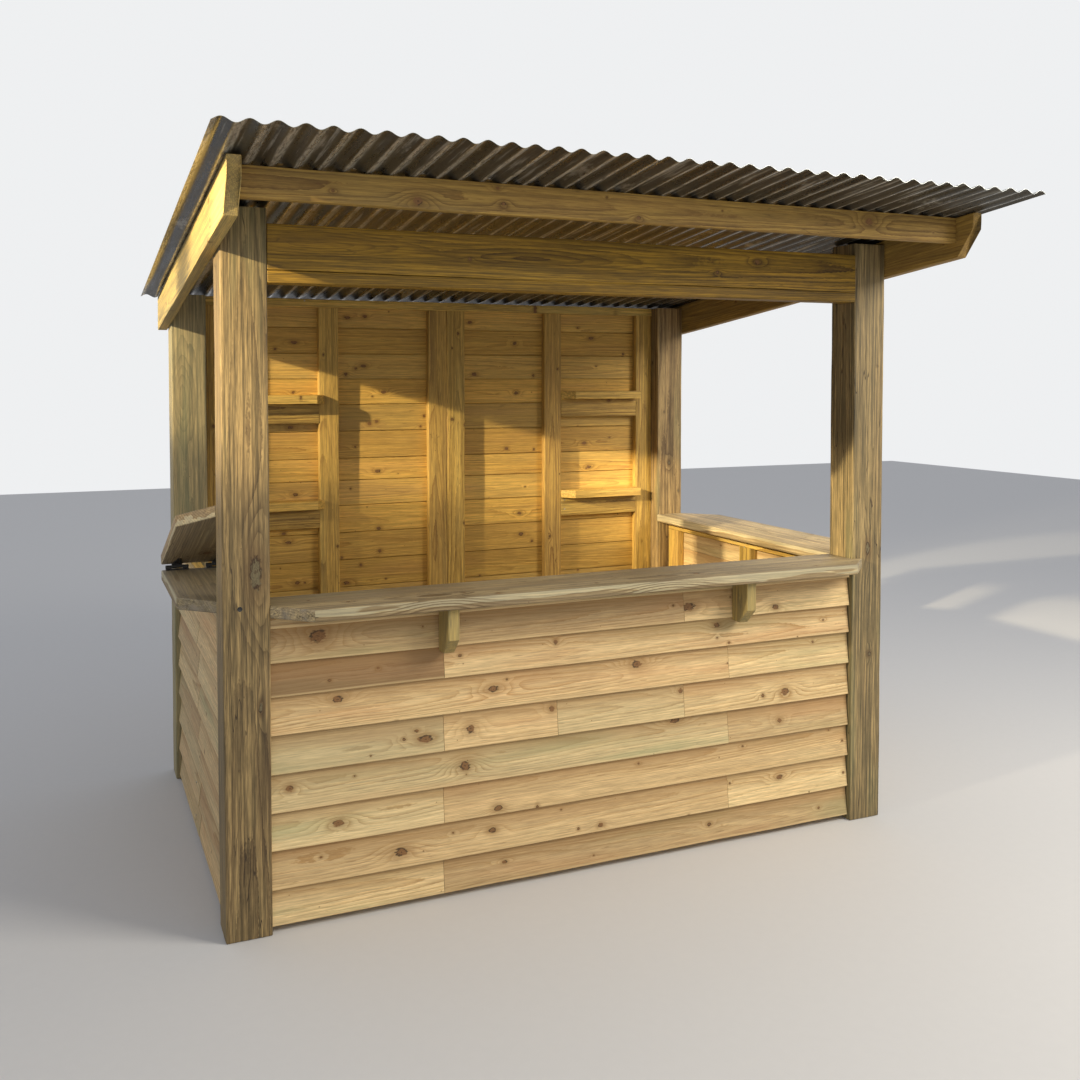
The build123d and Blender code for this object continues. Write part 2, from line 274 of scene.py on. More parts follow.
def knot_nodes(t, du, dv, radius, grain):
    """How near a knot is and the swell it gives the rings, from offsets along and across the grain.

    Nearness is the distance from its heart over its radius, longer along the grain and roughened by grain. The
    swell falls off as a bell four radii long and two wide. A knot of negative radius gives its swell alone, turned
    the other way.
    """
    size = t.math("ABSOLUTE", radius)
    along, across = du / (size * 1.2), dv / size
    swell_alone = t.math("LESS_THAN", radius, 0.0)
    near = t.math("SQRT", along ** 2.0 + across ** 2.0) + grain * 1.2 + swell_alone * 9.0
    spread = (along * 0.25) ** 2.0 + (across * 0.45) ** 2.0
    return near, t.math("EXPONENT", spread * -1.0) * (radius * 1.5)


# Stains and marks on the wood, and the painted shade under the laps, as linear light
GREEN_TINT = (0.30, 0.34, 0.16)
PINK_TINT = (0.55, 0.27, 0.11)
WARM_TONE = (0.56, 0.26, 0.09)
COOL_TONE = (0.36, 0.36, 0.21)
LAP_SHADE = (0.30, 0.165, 0.055)
WEATHERED = (0.23, 0.20, 0.155)
WORN_FACE = (0.16, 0.122, 0.078)
PALE_ARRIS = (0.44, 0.41, 0.27)
DAMP_EDGE = (0.16, 0.105, 0.048)
DARK_SWIRL = (0.12, 0.078, 0.035)
OPEN_CHECK = (0.035, 0.022, 0.012)
END_RAYS = (0.10, 0.075, 0.05)


def wood(name, early, late, ring=6.0, contrast=0.8, fibre=0.3, blotch=0.25, green=0.2, pink=0.2, weather=0.0,
         checks=0.0, knotty=0.6, lap=False, end=False, relief=0.6, wander=18.0, saw=0.0, bands=0.15, top=0.0,
         core=None):
    """Sawn softwood, worked out from where each point lies in its log.

    The log attribute holds the place along the grain and the offsets from the pith. A ring's number is the
    distance from the pith, with slow noise, a taper and the knots' swell added, over the ring spacing, and its
    fraction drives pale early wood and dark late wood. Fibre is noise drawn out along the grain.
    """
    t = Finish(name)
    log = t.attribute("log")
    lightness, warmth, spacing = t.split(t.attribute("tone"))
    place, aside, deep = t.split(log)
    from_pith = t.vector("LENGTH", t.vector("MULTIPLY", log, (0.0, 1.0, 1.0)))
    turn = t.math("ARCTAN2", aside, deep)

    def drawn(long, across, detail=2.0, rough=0.5, shift=None):
        """Noise with this many marks to the metre along the grain and across it."""
        start = log if shift is None else t.vector("ADD", log, shift)
        return t.drawn(start, (long, across, across), detail, rough)

    slow = drawn(1.3, 6.0) - 0.5
    grain = drawn(70.0, 160.0, 1.0) - 0.5

    # Knots: up to three listed for each timber, and others scattered over the log
    fields = [knot_nodes(t, *t.split(t.attribute(key)), grain) for key in KNOTS]
    cell_long, cell_turn = 0.44, 0.8
    cells = t.join(place / cell_long, turn / cell_turn, 0.0)
    scatter = t.put("ShaderNodeTexVoronoi", [("Vector", cells), ("Scale", 1.0), ("Randomness", 0.9)],
                    voronoi_dimensions="2D")
    heart = t.split(scatter.beside("Position"))
    size = (t.split(scatter.beside("Color"))[0] - 0.35) * (0.016 * knotty)
    fields.append(knot_nodes(t, place - heart[0] * cell_long, (turn - heart[1] * cell_turn) * from_pith,
                             t.math("MAXIMUM", size, 0.9 * MM), grain))
    near, swell = fields[0]
    for other_near, other_swell in fields[1:]:
        near = t.math("MINIMUM", near, other_near)
        swell = swell + other_swell
    swell_size = t.math("ABSOLUTE", swell)

    uneven = drawn(0.4, 34.0, 1.0) - 0.5
    taper = 0.011
    reach = from_pith + slow * (wander * MM) + uneven * (7.0 * MM) + place * taper + swell
    rings = reach / (spacing * (ring * MM)) + grain * 0.22
    years = t.ramp(t.math("FRACT", rings), [(0.0, 0.05), (0.42, 0.12), (0.78, 0.62), (0.93, 1.0), (1.0, 0.06)])
    late_share = years * t.smooth(drawn(0.9, 14.0, 1.0), 0.3, 0.7, 0.35 * contrast, contrast)
    colour = t.mix(late_share, early, late)

    streak = drawn(14.0, 330.0, 3.0, 0.6)
    colour = t.mix(1.0, colour, t.smooth(streak, 0.28, 0.72, 1.0 - fibre, 1.0 + fibre), "MULTIPLY")
    band = t.smooth(drawn(1.7, 100.0, 3.0, 0.6), 0.4, 0.6, 1.0 - bands, 1.0 + 0.5 * bands)
    colour = t.mix(1.0, colour, band, "MULTIPLY")
    dash = drawn(13.0, 190.0, shift=(9.0, 1.0, 6.0))
    colour = t.mix(t.smooth(dash, 0.66, 0.74, 0.0, 0.45), colour, scaled(late, 0.45))
    cloud = t.smooth(drawn(2.0, 11.0, 3.0), 0.45, 0.75, 0.0, blotch)
    colour = t.mix(cloud, colour, t.mix(0.5, colour, late))
    tint = drawn(1.1, 9.0, shift=(3.1, 7.7, 1.3))
    colour = t.mix(t.smooth(tint, 0.54, 0.72, 0.0, green), colour, GREEN_TINT)
    colour = t.mix(t.smooth(tint, 0.46, 0.3, 0.0, pink), colour, PINK_TINT)
    # Each timber's tone: warmer above nought, greyer and greener below; on a few timbers it also holds painted shade
    # or painted light
    for share, tone in ((0.45, WARM_TONE), (-0.45, COOL_TONE)):
        colour = t.mix(t.math("MULTIPLY", warmth, share, clamp=True), colour, tone)
    lift = lightness * 0.7 + 1.0
    colour = t.put("ShaderNodeVectorMath", [(0, colour), ("Scale", lift)], operation="SCALE")

    if lap:
        # Painted shade under the lip of the board above, mixed with weathering, darkens each board's upper part, and
        # a painted highlight lightens its lip
        height = t.attribute("lap", "Fac")
        colour = t.mix(t.smooth(height, 0.35, 1.0, 0.0, 0.62), colour, LAP_SHADE)
        colour = t.mix(t.smooth(height, 0.1, 0.03, 0.0, 0.4), colour, scaled(early, 1.25))
    if weather:
        grey = drawn(3.0, 28.0, 4.0, 0.6)
        colour = t.mix(t.smooth(grey, 0.35, 0.75, 0.15 * weather, weather), colour, WEATHERED)
    if top:
        # Planks: a brown-grey upper face inside a pale worn arris
        height = t.attribute("lap", "Fac")
        patch = drawn(2.2, 24.0, 3.0)
        worn = t.smooth(height, 0.9, 1.0, 0.0, top) * t.smooth(patch, 0.3, 0.65, 0.55, 1.0)
        colour = t.mix(worn, colour, WORN_FACE)
        wane = height + (patch - 0.5) * 2.8
        edge = t.smooth(wane, 0.50, 0.58) * t.smooth(height, 0.995, 0.94)
        colour = t.mix(edge * 0.45, colour, PALE_ARRIS)
        colour = t.mix(t.smooth(wane, 0.54, 0.48) * 0.6, colour, DAMP_EDGE)
        swirl = t.smooth(swell_size, 0.003, 0.014) * t.smooth(years, 0.2, 0.6)
        colour = t.mix(swirl * 0.75, colour, DARK_SWIRL)

    # A knot: rings of its own round its heart, a dark rim that is broken in places, and darker wood about it
    knots = colours().knot
    middle = core or knots
    broken = t.smooth(drawn(38.0, 38.0, 1.0), 0.42, 0.53, 0.05, 1.0)
    rim = t.smooth(t.math("ABSOLUTE", near - 0.95), 0.42, 0.1) * broken
    loops = t.smooth(t.math("SINE", near * 17.0), -0.6, 0.9)
    knot_wood = t.mix(loops * 0.55, scaled(middle, 2.3), scaled(middle, 1.1))
    knot_wood = t.mix(rim, knot_wood, scaled(knots, 0.35))
    knot_wood = t.mix(t.smooth(near, 0.28, 0.05, 0.0, 0.6), knot_wood, scaled(knots, 0.5))
    shade = t.mix(0.4, scaled(late, 0.8), scaled(knots, 1.6))
    colour = t.mix(t.smooth(near, 3.0, 1.0, 0.0, 0.42), colour, shade)
    colour = t.mix(t.smooth(swell_size, 0.0, 0.012, 0.0, 0.3), colour, t.mix(0.5, colour, late))
    colour = t.mix(t.smooth(near, 1.2, 0.85) * 0.92, colour, knot_wood)

    height = late_share * 0.35 + streak * 0.9
    if checks:
        line = t.smooth(t.math("ABSOLUTE", drawn(1.7, 26.0) - 0.5), 0.006, 0.002)
        where = drawn(1.4, 7.0, 0.0, shift=(5.0, 2.0, 4.0))
        line = line * t.smooth(where, 0.45, 0.57, 0.0, checks)
        colour = t.mix(line * 0.85, colour, OPEN_CHECK)
        height = height - line * 3.0
    if saw:
        height = height + drawn(420.0, 9.0, 1.0) * saw
    if end:
        rays = t.noise(t.join(turn * 55.0, from_pith * 6.0, 0.0))
        colour = t.mix(t.smooth(rays, 0.45, 0.7, 0.0, 0.45), colour, END_RAYS)
        height = height - rays
    rough = (streak - 0.5) * 0.25 + 0.62
    return t.done(colour, rough, height, distance=0.5 * MM, strength=relief, specular=0.35)


def sheet_crest():
    """Where one of the sheet's crests runs, across the bar."""
    return x_left - 83 * MM


def galvanised(name, colour, under):
    """Zinc-coated sheet: soft spangle, streaks drawn out down the slope and pale bloom.

    The underside is a darker copy, as painted shade. On it, phase is the share of a wave past its crest, and a
    pale mottled painted reflection lies on the flank after the valley.
    """
    t = Finish(name)
    place = t.object_place()
    streak = t.drawn(place, (60.0, 2.2, 2.2), 4.0, 0.65)
    drip = t.drawn(place, (170.0, 1.3, 1.3), 3.0, 0.6)
    bloom = t.drawn(place, (9.0, 2.6, 9.0), 5.0, 0.75)
    flake = t.split(t.put("ShaderNodeTexVoronoi", [("Vector", place), ("Scale", 90.0)], "Color"))[0]
    # The underside's values make a darker copy of the sheet, as painted shade
    pale = (0.50, 0.48, 0.42) if under else scaled(colour, 1.25)
    painted_flank_reflection = (0.60, 0.58, 0.51)
    base = t.mix(t.smooth(streak, 0.36, 0.6, 0.6 if under else 0.3, 0.0), colour, scaled(colour, 0.5))
    base = t.mix(t.smooth(streak, 0.55, 0.68, 0.0, 0.65 if under else 0.3), base, pale)
    base = t.mix(t.smooth(drip, 0.55, 0.66, 0.0, 0.45), base, scaled(colour, 0.4 if under else 0.75))
    base = t.mix(t.smooth(bloom, 0.58, 0.68, 0.0, 0.5), base, pale)
    base = t.mix(t.smooth(flake, 0.0, 1.0, 0.0, 0.15), base, scaled(colour, 0.6))
    if under:
        # Painted reflection: the flank after each valley is paler and mottled
        phase = t.math("FRACT", (t.split(place)[0] - sheet_crest()) / SHEET_PITCH)
        reflection_mottle = t.drawn(place, (120.0, 26.0, 1.0), 5.0, 0.8)
        flank = t.smooth(phase, 0.44, 0.52) * t.smooth(phase, 0.96, 0.8)
        base = t.mix(flank * t.smooth(reflection_mottle, 0.4, 0.56, 0.2, 0.95), base, painted_flank_reflection)
    rough = t.smooth(streak, 0.3, 0.7, 0.2, 0.42) + flake * 0.06
    return t.done(base, rough, bloom, distance=0.6 * MM, strength=0.35, metallic=0.6 if under else 1.0)


def enamel(name, colour):
    """Black enamel on steel, with a fine orange-peel, pale dust and patches of duller sheen."""
    t = Finish(name)
    place, pale_dust = t.object_place(), (0.075, 0.068, 0.058)
    peel = t.noise(place, 900.0)
    dust = t.noise(place, 60.0, 3.0)
    base = t.mix(t.smooth(dust, 0.45, 0.8, 0.0, 0.35), colour, pale_dust)
    return t.done(base, t.smooth(dust, 0.3, 0.7, 0.32, 0.5), peel, distance=0.2 * MM, strength=0.3)


def zinc_screw(name):
    """Plated screw heads, bright with a little tarnish."""
    t = Finish(name)
    tarnish, bright, dull = t.noise(t.object_place(), 400.0), (0.62, 0.58, 0.48), (0.30, 0.26, 0.20)
    return t.done(t.mix(tarnish, bright, dull), 0.38, tarnish, distance=0.1 * MM, strength=0.2, metallic=1.0)


def stage_finish(name, colour):
    """Pale matt ground with faint patches."""
    t = Finish(name)
    patches = t.smooth(t.noise(t.object_place(), 30.0, 3.0), 0.3, 0.7, 0.0, 0.05)
    return t.done(t.mix(patches, colour, scaled(colour, 0.8)), 0.9)


# What sets each kind of timber apart
RECIPES = {
    "siding": dict(ring=5.0, contrast=0.85, fibre=0.22, green=0.42, pink=0.3, lap=True, relief=0.45, bands=0.12,
                   blotch=0.3, knotty=0.45),
    "post": dict(ring=8.0, contrast=0.9, fibre=0.42, blotch=0.5, green=0.25, pink=0.05, checks=1.0, relief=0.9,
                 wander=9.0, saw=0.25, knotty=0.4, bands=0.48, core=(0.064, 0.052, 0.027)),
    "framing": dict(ring=5.0, contrast=0.95, green=0.12, pink=0.12, checks=0.4, bands=0.25),
    "beam": dict(contrast=1.0, fibre=0.32, green=0.04, pink=0.04, checks=0.4, bands=0.32),
    "back": dict(ring=5.0, contrast=0.75, fibre=0.2, green=0.08, pink=0.15, relief=0.45, knotty=0.5, blotch=0.4),
    "plank": dict(contrast=1.0, green=0.12, pink=0.05, weather=0.45, checks=0.8, relief=0.8, bands=0.35, top=0.5),
}
# Materials made so far for each kind of piece
made_finishes = {}


def finishes_for(kind):
    """The materials of one kind of piece, made when first asked for. Timber has faces first and sawn ends second."""
    if kind not in made_finishes:
        c = colours()
        if kind == "hinge":
            made_finishes[kind] = [enamel("black_enamel", c.hinge)]
        else:
            early, late, recipe = getattr(c, kind), getattr(c, kind + "_late"), RECIPES[kind]
            ends = dict(recipe, lap=False, end=True, contrast=0.7, relief=1.0, knotty=0.3, top=0.0,
                        weather=0.95 if kind == "plank" else 0.0)
            made_finishes[kind] = [wood(kind + "_wood", early, late, **recipe),
                                   wood(kind + "_end_grain", scaled(early, 0.86), late, **ends)]
    return made_finishes[kind]


# Mesh making


def ripple(place, seed, length, size):
    """Smooth wander: five sines of wavelengths round length with seeded phases, summed to about size."""
    draw = np.random.default_rng(seed)
    waves = length * draw.uniform(0.45, 2.2, 5)
    phases = draw.uniform(0, 2 * np.pi, 5)
    total = np.sin(2 * np.pi * np.asarray(place)[..., None] / waves + phases).sum(axis=-1)
    return total * size / 2.2


def round_section(b0, b1, c0, c1, radius, step=0.03):
    """Outline of a rectangle with quarter-circle corners, counter-clockwise, with points along its sides."""
    steps = np.linspace(0, np.pi / 2, 4)
    corners = [(b1 - radius, c1 - radius, 0.0), (b0 + radius, c1 - radius, 0.5 * np.pi),
               (b0 + radius, c0 + radius, np.pi), (b1 - radius, c0 + radius, 1.5 * np.pi)]
    ring = []
    for k, (b, c, start) in enumerate(corners):
        arc = np.stack([b + radius * np.cos(start + steps), c + radius * np.sin(start + steps)], axis=1)
        ring.append(arc)
        nb, nc, nstart = corners[(k + 1) % 4]
        following = np.array([nb + radius * np.cos(nstart), nc + radius * np.sin(nstart)])
        count = int(np.linalg.norm(following - arc[-1]) / step)
        if count > 0:
            shares = np.arange(1, count + 1)[:, None] / (count + 1)
            ring.append(arc[-1] + (following - arc[-1]) * shares)
    return np.concatenate(ring)


class Pile:
    """Timbers gathered for one mesh: points, faces and where each point lies in its own log."""

    def __init__(self):
        self.points, self.faces, self.kinds = [], [], []
        self.fields = {key: [] for key in ("log", "tone", *KNOTS)}
        self.laps = []
        self.count = 0

    def add(self, points, quads, caps, log, tone, knots, lap=None):
        self.faces.extend((quads + self.count).tolist())
        self.kinds.extend([0] * len(quads))
        for cap in caps:
            self.faces.append((np.asarray(cap) + self.count).tolist())
            self.kinds.append(1)
        size = len(points)
        self.points.append(points)
        self.fields["log"].append(log)
        self.fields["tone"].append(np.tile(tone, (size, 1)))
        for key, field in zip(KNOTS, knots):
            self.fields[key].append(field)
        self.laps.append(np.zeros(size) if lap is None else lap)
        self.count += size

    def build(self, name, body, node, kind):
        """Puts the timbers on their body as one mesh that dresses a node."""
        mesh = bpy.data.meshes.new(name)
        mesh.from_pydata(np.concatenate(self.points), [], self.faces)
        mesh.polygons.foreach_set("material_index", np.array(self.kinds, dtype=np.int32))
        for key, parts in self.fields.items():
            layer = mesh.attributes.new(key, "FLOAT_VECTOR", "POINT")
            layer.data.foreach_set("vector", np.concatenate(parts).astype(np.float32).ravel())
        layer = mesh.attributes.new("lap", "FLOAT", "POINT")
        layer.data.foreach_set("value", np.concatenate(self.laps).astype(np.float32))
        settle(mesh, name, body, [node], finishes_for(kind))


def settle(mesh, name, body, nodes, finishes, sharp=38.0):
    """Puts a finished mesh on its body, with smooth shading broken at sharp edges."""
    for finish in finishes:
        mesh.materials.append(finish)
    mesh.update()
    mesh.validate()
    mesh.shade_smooth()
    mesh.set_sharp_from_angle(angle=math.radians(sharp))
    piece = bpy.data.objects.new(name, mesh)
    bpy.context.scene.collection.objects.link(piece)
    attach(piece, body)
    if nodes:
        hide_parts(*nodes)


def tube_quads(stations, ring):
    """Quads of a closed ring carried through stations, facing outwards where it runs counter-clockwise."""
    index = np.arange(stations * ring).reshape(stations, ring)
    ahead = np.roll(index, -1, axis=1)
    return np.stack([index[:-1], ahead[:-1], ahead[1:], index[1:]], axis=-1).reshape(-1, 4)


def knot_fields(along, across, knots):
    """For up to three knots (along, across, radius and often stretch), offsets from the heart and the radius."""
    fields = []
    for k in range(len(KNOTS)):
        if k < len(knots):
            u, v, radius, *stretch = knots[k]
            u = (along - u) / (stretch[0] if stretch else 1.0)
            fields.append(np.stack([u, across - v, np.full(len(along), radius)], axis=1))
        else:
            fields.append(np.tile(FAR, (len(along), 1)))
    return fields


def timber(pile, low, high, along, seed, radius=None, pith=None, tone=(0.0, 0.0, 1.0), knots=(), knot_axis=None,
           cut_low=None, bend=None, step=0.08):
    """One sawn timber: a rounded rectangle carried along the axis named by along, its ends slightly eased.

    Every point strays from true by ripple of the waver, more at the corners. Cut_low shapes the low end, and bend
    may move every point last. The pith is given across the grain, and lies outside the timber unless it holds the
    heart.
    """
    low, high = np.asarray(low, float), np.asarray(high, float)
    radius = sizes().arris if radius is None else radius
    waver = sizes().waver
    across, deep = (along + 1) % 3, (along + 2) % 3
    section = round_section(low[across], high[across], low[deep], high[deep], radius)
    middle = (low + high) / 2
    ease = min(radius, 2.0 * MM) * 0.8
    inner = np.stack([np.clip(section[:, 0], low[across] + ease, high[across] - ease),
                      np.clip(section[:, 1], low[deep] + ease, high[deep] - ease)], axis=1)
    length = high[along] - low[along]
    stations = np.linspace(low[along] + ease, high[along] - ease, max(int(length / step), 2) + 1)
    grid_u = np.concatenate([[low[along]], stations, [high[along]]])
    sections = np.stack([inner] + [section] * len(stations) + [inner])
    count, ring = len(grid_u), len(section)
    u = np.repeat(grid_u[:, None], ring, axis=1)
    b, c = sections[..., 0], sections[..., 1]
    if cut_low is not None:
        u = u + cut_low(b, c) * (1 - (u - low[along]) / length)
    draw = np.random.default_rng(seed)
    if pith is None:
        sides, size = [across, deep], (high - low)[[across, deep]]
        thin = 0 if size[0] < size[1] else 1
        reach = draw.uniform(45, 100) * MM
        slip = draw.uniform(-0.3, 0.3)
        side = 1 if draw.random() < 0.5 else -1
        pith = middle[sides] + slip * size
        pith[thin] = middle[sides][thin] - side * (reach + size[thin] / 2)
    sign_b = 1 if middle[across] >= pith[0] else -1
    sign_c = 1 if middle[deep] >= pith[1] else -1
    start = draw.uniform(0, 40)
    log = np.stack([u + start, (b - pith[0]) * sign_b, (c - pith[1]) * sign_c], axis=-1).reshape(-1, 3)
    fields = knot_fields(u.ravel(), (c if knot_axis == deep else b).ravel(), knots)
    reach_b = (b - middle[across]) / (high[across] - low[across]) * 2
    reach_c = (c - middle[deep]) / (high[deep] - low[deep]) * 2
    corner = np.abs(reach_b * reach_c) ** 4
    b = b + ripple(u + 3 * c, seed + 1, 0.9, waver) * reach_b - reach_b * corner * np.abs(
        ripple(u, seed + 3, 0.16, waver))
    c = c + ripple(u + 3 * b, seed + 2, 0.9, waver) * reach_c - reach_c * corner * np.abs(
        ripple(u, seed + 4, 0.13, waver))
    points = np.zeros((count * ring, 3))
    points[:, along], points[:, across], points[:, deep] = u.ravel(), b.ravel(), c.ravel()
    if bend is not None:
        points = bend(points)
    last = np.arange(ring) + (count - 1) * ring
    pile.add(points, tube_quads(count, ring), [np.arange(ring)[::-1], last], log, tone, fields)


def lone_timber(node, name, along, seed, tone, kind="framing", low=None, **shape):
    """Dresses one node with one timber in its box, which may be given a low corner of its own."""
    own_low, high = box(node)
    pile = Pile()
    timber(pile, own_low if low is None else low, high, along, seed, tone=tone, **shape)
    pile.build(name, "bar", node, kind)


def tone_draw(seed, spread=0.5, warm=0.3):
    """A timber's own tone: lightness, warmth and ring spacing drawn from its seed."""
    draw = np.random.default_rng(seed + 900)
    return draw.uniform(-spread, spread), draw.uniform(-warm, warm), draw.uniform(0.75, 1.3)


def slab(node, name, outline, low, high, axis, seed, grain, radius=None, kind="framing", body="bar", pith=None,
         tone=(0.0, 0.0, 1.0), knots=(), edge_knots=(), end_cut=0.8, bend=None):
    """Dresses a node with a plank cut to an outline, carried through its thickness, with every edge rounded.

    Each point of the outline moves in along its mitre by one less the sine of the rounding's angle. The
    outline runs counter-clockwise seen from the high side. Rims whose edge runs across the grain are end grain,
    and end_cut is how far along the grain such an edge may still run. Knots lie on the broad faces, and edge
    knots, which are placed by height, on the rims along the grain.
    """
    radius = sizes().arris if radius is None else radius
    corners = np.asarray(outline, float)
    rows = []
    for start, stop in zip(corners, np.roll(corners, -1, axis=0)):
        count = max(int(np.linalg.norm(stop - start) / 0.09), 1)
        rows.append(start + (stop - start) * (np.arange(count)[:, None] / count))
    ring = np.concatenate(rows)
    ahead = np.roll(ring, -1, axis=0) - ring
    ahead /= np.linalg.norm(ahead, axis=1, keepdims=True)
    outward = np.stack([ahead[:, 1], -ahead[:, 0]], axis=1)
    mitre = outward + np.roll(outward, 1, axis=0)
    mitre /= np.maximum((mitre * outward).sum(axis=1, keepdims=True), 0.2)
    angles = np.linspace(0, np.pi / 2, 5)
    inset = radius * (1 - np.sin(angles))
    rise = radius * (1 - np.cos(angles))
    insets = np.concatenate([inset, inset[::-1]])
    heights = np.concatenate([low + rise, (high - rise)[::-1]])
    flat = ring[None] - mitre[None] * insets[:, None, None]
    count, size = len(insets), len(ring)
    across, deep = (axis + 1) % 3, (axis + 2) % 3
    points = np.zeros((count * size, 3))
    points[:, across], points[:, deep] = flat[..., 0].ravel(), flat[..., 1].ravel()
    points[:, axis] = np.repeat(heights, size)
    draw = np.random.default_rng(seed)
    side = 3 - axis - grain
    if pith is None:
        pith = (points.mean(axis=0)[side] + draw.uniform(-0.02, 0.02), low - draw.uniform(40, 90) * MM)
    log = np.stack([points[:, grain] + draw.uniform(0, 40), points[:, side] - pith[0], points[:, axis] - pith[1]],
                   axis=1)
    fields = knot_fields(points[:, grain], points[:, side], knots)[: len(KNOTS) - len(edge_knots)]
    fields += knot_fields(points[:, grain], points[:, axis], edge_knots)[: len(edge_knots)]
    if bend is not None:
        points = bend(points)
    pile = Pile()
    broad = [np.arange(size)[::-1], np.arange(size) + (count - 1) * size]
    pile.add(points, tube_quads(count, size), broad, log, tone, fields,
             np.repeat((heights - low) / (high - low), size))
    # The broad faces are long grain, and the rims that cross the grain are end grain
    crossing = np.abs(ahead[:, 0] if across == grain else ahead[:, 1]) < end_cut
    pile.kinds = np.tile(crossing, count - 1).astype(int).tolist() + [0, 0]
    pile.build(name, body, node, kind)


def lapped_board(pile, origin, along, out, start, stop, bottom, top, rise, seed, tone, knots, lap_high):
    """One rebated board: a wedge, thick and round-lipped below and thin above, that laps the board beneath it.

    Seen from its end, the face runs straight from the lip to the head, and the back is flat. The lip wanders by
    ripple along the board. Lap runs from nought at the lip to one where the next board covers it.
    """
    lip = sizes().lip
    butt_deep, head_deep, bevel = 25 * MM, 10 * MM, 1.2 * MM
    rebate_deep, rebate_high = 11 * MM, 12.5 * MM
    head = min(bottom + rise + lap_high, top)
    angles = np.linspace(-np.pi / 2, 0, 5)
    lip_out = butt_deep - lip + lip * np.cos(angles)
    lip_up = bottom + lip + lip * np.sin(angles)
    face_up = np.linspace(bottom + lip, head, 7)[1:]
    face_out = butt_deep - (face_up - bottom) * ((butt_deep - head_deep) / rise)
    if bottom > 30 * MM:
        foot = bottom + rebate_high
        under = [(bevel, foot), (rebate_deep, foot), (rebate_deep, bottom)]
    else:
        # The lowest board has none beneath it to lap
        foot = bottom
        under = [(bevel, foot)]
    section = np.array([(0.0, foot + bevel), *under, *zip(lip_out, lip_up), *zip(face_out, face_up), (bevel, head),
                        (0.0, head - bevel)])
    stations = np.linspace(start, stop, max(int((stop - start) / 0.07), 2) + 1)
    count, size = len(stations), len(section)
    u = np.repeat(stations[:, None], size, axis=1)
    w, z = (np.repeat(section[None, :, k], count, axis=0) for k in (0, 1))
    draw = np.random.default_rng(seed)
    lap = np.clip((z - bottom) / rise, 0, 1)
    pith_up = (bottom + rise / 2) + draw.uniform(-0.03, 0.03)
    log = np.stack([u + draw.uniform(0, 40), z - pith_up, w + draw.uniform(35, 95) * MM], axis=-1).reshape(-1, 3)
    fields = knot_fields(u.ravel(), z.ravel(), knots)
    fore = (w / butt_deep) ** 2
    w = w + fore * (ripple(u, seed + 1, 1.1, 0.5 * MM) + draw.uniform(-0.5, 0.2) * MM - 0.4 * MM)
    z = z + fore * (1 - lap) ** 2 * ripple(u, seed + 2, 0.8, 0.7 * MM)
    origin, along, out, upright = (np.asarray(v, float) for v in (origin, along, out, (0, 0, 1)))
    points = (origin + u.ravel()[:, None] * along + w.ravel()[:, None] * out + z.ravel()[:, None] * upright)
    quads, first, last = tube_quads(count, size), np.arange(size)[::-1], np.arange(size) + (count - 1) * size
    if np.dot(along, np.cross(out, upright)) < 0:
        quads, first, last = quads[:, ::-1], first[::-1], last[::-1]
    pile.add(points, quads, [first, last], log, tone, fields, lap.ravel())


# Courses of the half walls, by the height of each board's lower lip
half_lips = [0.020, 0.131, 0.252, 0.371, 0.490, 0.611, 0.730, 0.834, 0.941]
# Back boards, by the joints seen from inside
back_lips = [0.020, 0.140, 0.258, 0.376, 0.494, 0.612, 0.736, 0.861, 0.987, 1.111, 1.226, 1.327, 1.451,
             1.573, 1.689, 1.803, 1.920, 2.036]
# Boards of each front course: where each ends, from the left post's outer face, its lightness and warmth
front_boards = [
    [(0.696, 0.2, -0.1), (2.34, -0.3, 0.3)],
    [(1.790, -0.05, 0.25), (2.34, 0.3, -0.1)],
    [(0.696, 0.3, -0.45), (2.34, 0.0, 0.2)],
    [(1.789, 0.05, -0.45), (2.34, -0.25, 0.25)],
    [(0.697, 0.0, -0.7), (1.104, 0.1, 0.2), (1.602, 0.05, -0.4), (2.34, 0.0, 0.05)],
    [(1.789, 0.05, 0.15), (2.34, 0.1, 0.0)],
    [(0.698, -0.72, 1.15), (2.34, 0.0, 0.15)],
    [(1.600, -0.25, 0.4), (2.34, 0.15, 0.1)],
    [(2.34, -0.3, 0.3)],
]
# Knots seen on the front boards: along the bar, height and radius
front_knots = [
    (0.287, 0.905, 0.019), (1.099, 0.808, 0.007), (1.618, 0.885, 0.013), (1.992, 0.855, 0.009),
    (0.323, 0.764, 0.004), (0.754, 0.797, 0.005), (1.741, 0.808, 0.008),
    (0.348, 0.700, 0.009), (0.871, 0.674, 0.010), (1.411, 0.700, 0.013),
    (0.634, 0.538, 0.011), (0.606, 0.567, 0.005), (0.789, 0.550, 0.013), (1.085, 0.581, 0.009),
    (1.590, 0.584, 0.008), (2.038, 0.532, 0.012), (1.939, 0.528, 0.006),
    (0.197, 0.440, 0.009), (0.770, 0.430, 0.014), (1.568, 0.480, 0.009), (2.017, 0.426, 0.008),
    (0.348, 0.309, 0.010), (0.884, 0.272, 0.009),
    (0.552, 0.181, 0.012), (0.866, 0.200, 0.008), (1.267, 0.153, 0.007), (2.019, 0.209, 0.008),
    (0.910, 0.084, 0.005), (1.711, 0.080, 0.006),
]

